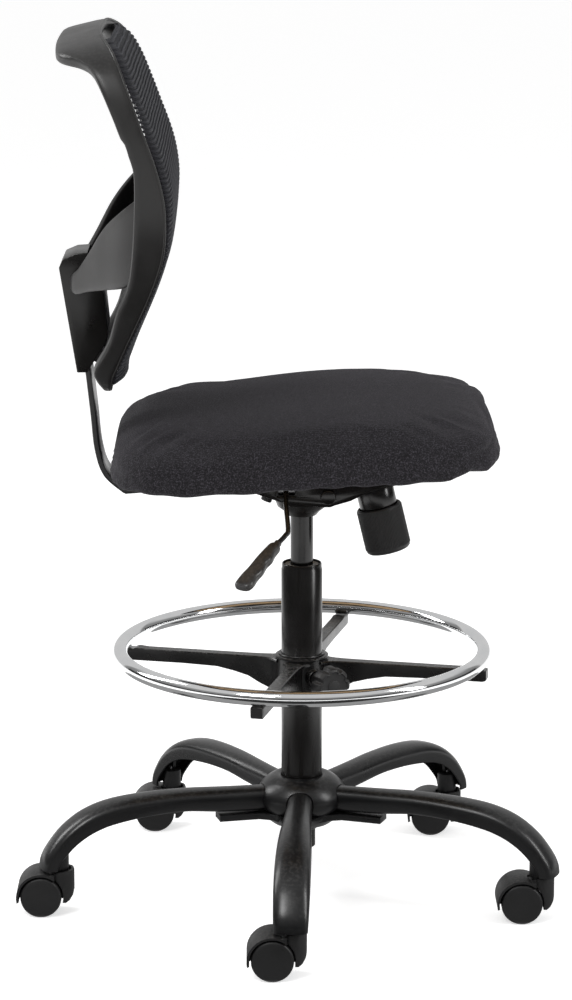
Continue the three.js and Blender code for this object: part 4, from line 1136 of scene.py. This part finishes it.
def makeFrame():
    line = frameLoop(220)
    ahead = np.roll(line, -1, axis=0) - np.roll(line, 1, axis=0)
    ahead /= np.linalg.norm(ahead, axis=1, keepdims=True)
    fronts, rears = smooth(railFront, 160), smooth(railRear, 160)
    rings, bead = [], []
    for (y, z), (dy, dz) in zip(line, ahead):
        front, rear = np.interp(z, fronts[:, 0], fronts[:, 1]), np.interp(z, rears[:, 0],
            rears[:, 1])
        drop = back["hookDrop"] * float(np.interp(z, (1028, 1062), (0, 1)))
        rings.append([((front + rear) / 2 + x, y + n * dz,
                       z - n * dy - drop * ((front - rear) / 2 - x))
                      for x, n in rounded((front - rear) / 2, back["railThick"] / 2, 32, 5)])
        bead.append((front - 1.0, y + 5.4 * dz, z - 5.4 * dy))
    rail = loft("rail", rings, True)
    tab = plate("tab", [(-254, 676), (-232, 664), (-229, 676), (-236, 694), (-250, 700)], -24, 24)
    softEdges(tab, 1.2)
    parts = [rail, tab]
    for hand in (-1, 1):
        stations = smooth(armStations, 40)
        middle = np.stack([stations[:, 0], (stations[:, 1] + stations[:, 3]) / 2], axis=1)
        way = np.gradient(middle, axis=0)
        way /= np.linalg.norm(way, axis=1, keepdims=True)
        rings = []
        for k, ((x, y0, z0, y1, z1), (dx, dy)) in enumerate(zip(stations, way)):
            fade = max(0.0, 1 - k / 16)
            rings.append([])
            for n, t in rounded(back["armThick"] / 2, 0.5, 40, 5):
                hollow = 2.6 * fade * math.exp(-((t - 0.12) / 0.22) ** 2) if n > 0 else 0
                y = y0 + (y1 - y0) * (t + 0.5) - (n - hollow) * dx
                rings[-1].append((x + (n - hollow) * dy, hand * y, z0 + (z1 - z0) * (t + 0.5)))
        parts.append(loft("arm", rings))
    finishPiece(joined("back_rail_frame", parts), "backrest", "grey_plastic", framePlastic,
                "back_frame")
    strip = threads("back_rail_bead", [bead + bead[:1]], back["bead"], framePlastic, 12)
    finishPiece(strip, "backrest", "grey_plastic", framePlastic)


# each row of screws: its height, its face and how far it looks up
bracketScrews = {"across": 27, "radius": 4.2, "height": 2.4,
                 "rows": ((690, -239.6, -0.6), (774, -240.9, 0.1))}


def makeBracket():
    finishPiece(fromNode("back_bracket_body", "back_bracket", 1.1), "backrest", "black_plastic",
                housingPlastic, "back_bracket")
    spots, facing = [], []
    for y in (-bracketScrews["across"], bracketScrews["across"]):
        for z, x, up in bracketScrews["rows"]:
            spots.append((x, y, z))
            facing.append((1, 0, up))
    heads = screws("back_bracket_screws", spots, facing, bracketScrews["radius"],
                   bracketScrews["height"], zinc)
    finishPiece(heads, "backrest", "bright_steel", zinc)


makeBar()
makeFrame()
makeBracket()
print("back frame made")

# Mesh: a stretched sheet with a thick rib every few threads
netting = {"low": 658, "high": 1064, "gap": 0.4, "flank": 7, "pitch": 5.5, "rib": 1.5,
           "thread": 1.15, "rows": 90, "columns": 96, "lift": 0.7, "thick": 0.9, "ribLift": 2.1,
           "ribSteps": 72, "ribEnd": 4.6, "edge": 9}
meshBulge = [(660, 12), (700, 9), (780, 5.5), (850, 0.8), (900, 0), (1060, 0)]


def makeMesh():
    sides = smooth(frameHalf, 120)
    sides = sides[(sides[:, 0] > 20)]
    sides = sides[np.argsort(sides[:, 1])]
    fronts, bulges = smooth(railFront, 160), smooth(meshBulge, 60)

    def halfAt(z):
        return float(np.interp(z, sides[:, 1], sides[:, 0])) - 1

    def surface(u, z, above):
        front = np.interp(z, fronts[:, 0], fronts[:, 1])
        bulge = np.interp(z, bulges[:, 0], bulges[:, 1])
        flank = np.interp(z, (800, 920), (0.5, netting["flank"]))
        inward = (1 - abs(u)) * halfAt(z) / netting["edge"]
        x = front + bulge * (1 - u * u) + flank * (1 - math.exp(-inward))
        return float(x) + netting["gap"] + above, u * halfAt(z), z

    rows, columns = netting["rows"], netting["columns"]
    points, faces, charts = [], [], []
    for above in (netting["lift"], netting["lift"] + netting["thick"]):
        for r in range(rows + 1):
            z = netting["low"] + (netting["high"] - netting["low"]) * r / rows
            for c in range(columns + 1):
                points.append(surface(2 * c / columns - 1, z, above))
                charts.append((points[-1][1] / netting["thread"], z / netting["thread"]))
    layer = (rows + 1) * (columns + 1)

    def spot(r, c, side):
        return side * layer + r * (columns + 1) + c

    for r in range(rows):
        for c in range(columns):
            a, b, d, e = spot(r, c, 1), spot(r, c + 1, 1), spot(r + 1, c + 1, 1), spot(r + 1, c, 1)
            faces.append((a, b, d, e))
            faces.append(tuple(i - layer for i in (a, e, d, b)))
    edge = ([(0, c) for c in range(columns)] + [(r, columns) for r in range(rows)]
            + [(rows, c) for c in range(columns, 0, -1)] + [(r, 0) for r in range(rows, 0, -1)])
    for i, (r, c) in enumerate(edge):
        nr, nc = edge[(i + 1) % len(edge)]
        faces.append((spot(r, c, 0), spot(nr, nc, 0), spot(nr, nc, 1), spot(r, c, 1)))
    piece = newPiece("back_mesh_sheet", points, faces, tidy=False)
    chart = piece.data.uv_layers.new(name="threads")
    for loop in piece.data.loops:
        chart.data[loop.index].uv = charts[loop.vertex_index]
    finishPiece(piece, "backrest", "mesh_fabric", meshCloth, "back_mesh", crease=80)
    ribs = []
    count = int((netting["high"] - netting["low"] - 4) / netting["pitch"])
    for k in range(count + 1):
        z = netting["low"] + 2 + k * netting["pitch"]
        line = []
        for c in range(netting["ribSteps"] + 1):
            u = math.sin(math.pi * (c / netting["ribSteps"] - 0.5))
            sway = 0.5 * math.sin(9 * u + 0.7 * k) * math.sin(3 * u + 0.23 * k)
            at = min(max(z + sway, netting["low"] + 0.5), netting["high"] - 0.5)
            line.append(surface(u * 0.998, at, netting["ribLift"]))
        # the rib's ends turn round the rail
        ends = [(x - netting["ribEnd"], y * 1.006, high) for x, y, high in (line[0], line[-1])]
        ribs.append([ends[0], *line, ends[1]])
    made = threads("back_mesh_ribs", ribs, netting["rib"], ribThread, 8)
    finishPiece(made, "backrest", "mesh_fabric", ribThread)


makeMesh()
print("mesh made")

# Floor, light and camera
# cards: half length, near and far edge; bands: height in the sky, brightness;
# lamps: name, place, target, size and power
studio = {"floor": 60, "floorGlow": 0.55, "world": 0.62,
          "frontCard": (0.9, -1.7, -0.42), "underCard": (0.9, -0.42, 0.5),
          "bands": ((0.0, 0.05), (0.16, 0.05), (0.24, 0.35), (0.45, 0.45), (0.6, 1.0)),
          "lamps": (("key", (-1.6, -2.6, 3.4), (0, 0, 0.5), (1.4, 1.4), 70),
                    ("front", (2.8, -1.0, 1.9), (0, 0, 0.5), (0.7, 2.0), 40),
                    ("rear", (-2.6, 1.0, 2.2), (0, 0, 0.6), (0.7, 2.0), 40)),
          "cameraAway": (-55.0, -4115.6, 1409.5), "pitch": 12.494, "yaw": -0.497, "lens": 124.92}


def makeFloor():
    half = studio["floor"] / 2
    shape = bpy.data.meshes.new("floor")
    shape.from_pydata([(-half, -half, 0), (half, -half, 0), (half, half, 0), (-half, half, 0)], [],
                      [(0, 1, 2, 3)])
    floor = linked("floor", shape)
    material = newMaterial("studio floor", Roughness=0.9, Specular_IOR_Level=0.05,
                           Base_Color=(0.8, 0.8, 0.8, 1), Emission_Color=(1, 1, 1, 1),
                           Emission_Strength=studio["floorGlow"])[0]
    floor.data.materials.append(material)


# Cards on the floor that only reflections see, for the dark streaks on the chrome and the paint
def makeCards():
    for name, glow, (x, y0, y1) in (("front_card", 0.0, studio["frontCard"]),
                                    ("under_card", 0.3, studio["underCard"])):
        shape = bpy.data.meshes.new(name)
        shape.from_pydata([(-x, y0, 0.003), (x, y0, 0.003), (x, y1, 0.003), (-x, y1, 0.003)], [],
                          [(0, 1, 2, 3)])
        card = linked(name, shape)
        material = newMaterial(name.replace("_", " "), Roughness=1.0,
                               Base_Color=(0.01, 0.01, 0.01, 1), Emission_Color=(1, 1, 1, 1),
                               Emission_Strength=glow)[0]
        card.data.materials.append(material)
        card.visible_camera = card.visible_shadow = card.visible_diffuse = False


def areaLight(name, spot, target, size, power):
    lamp = bpy.data.lights.new(name, "AREA")
    lamp.shape, lamp.size, lamp.size_y, lamp.energy = "RECTANGLE", size[0], size[1], power
    made = linked(name, lamp)
    made.location = spot
    made.rotation_euler = (Vector(target) - Vector(spot)).to_track_quat("-Z", "Y").to_euler()


def makeStudio():
    world = bpy.data.worlds.new("studio")
    bpy.context.scene.world = world
    world.use_nodes = True
    sky = world.node_tree.nodes["Background"]
    where = node(world.node_tree, "ShaderNodeTexCoord")
    way = node(world.node_tree, "ShaderNodeSeparateXYZ", {"Vector": where.outputs["Generated"]})
    behind = node(world.node_tree, "ShaderNodeMapRange",
                  {"Value": way.outputs["Y"], "From Min": 0.55, "From Max": 0.8, "To Max": 1.0})
    height = maths(world.node_tree, "MAXIMUM", way.outputs["Z"], behind.outputs["Result"])
    bands = node(world.node_tree, "ShaderNodeValToRGB", {"Fac": height})
    for k, (at, level) in enumerate(studio["bands"]):
        stop = bands.color_ramp.elements[k] if k < 2 else bands.color_ramp.elements.new(at)
        stop.position, stop.color = at, (level, level, level, 1)
    world.node_tree.links.new(bands.outputs["Color"], sky.inputs["Color"])
    sky.inputs["Strength"].default_value = studio["world"]
    for lamp in studio["lamps"]:
        areaLight(*lamp)
    lens = bpy.data.cameras.new("camera")
    lens.lens, lens.sensor_width, lens.clip_end = studio["lens"], 36, 200
    camera = linked("camera", lens)
    camera.location = Vector(column) + Vector(studio["cameraAway"]) * mm
    camera.rotation_euler = (math.radians(90 - studio["pitch"]), 0, math.radians(studio["yaw"]))
    bpy.context.scene.camera = camera
    bpy.context.scene.view_settings.view_transform = "Standard"


makeFloor()
makeCards()
makeStudio()
print("studio made")
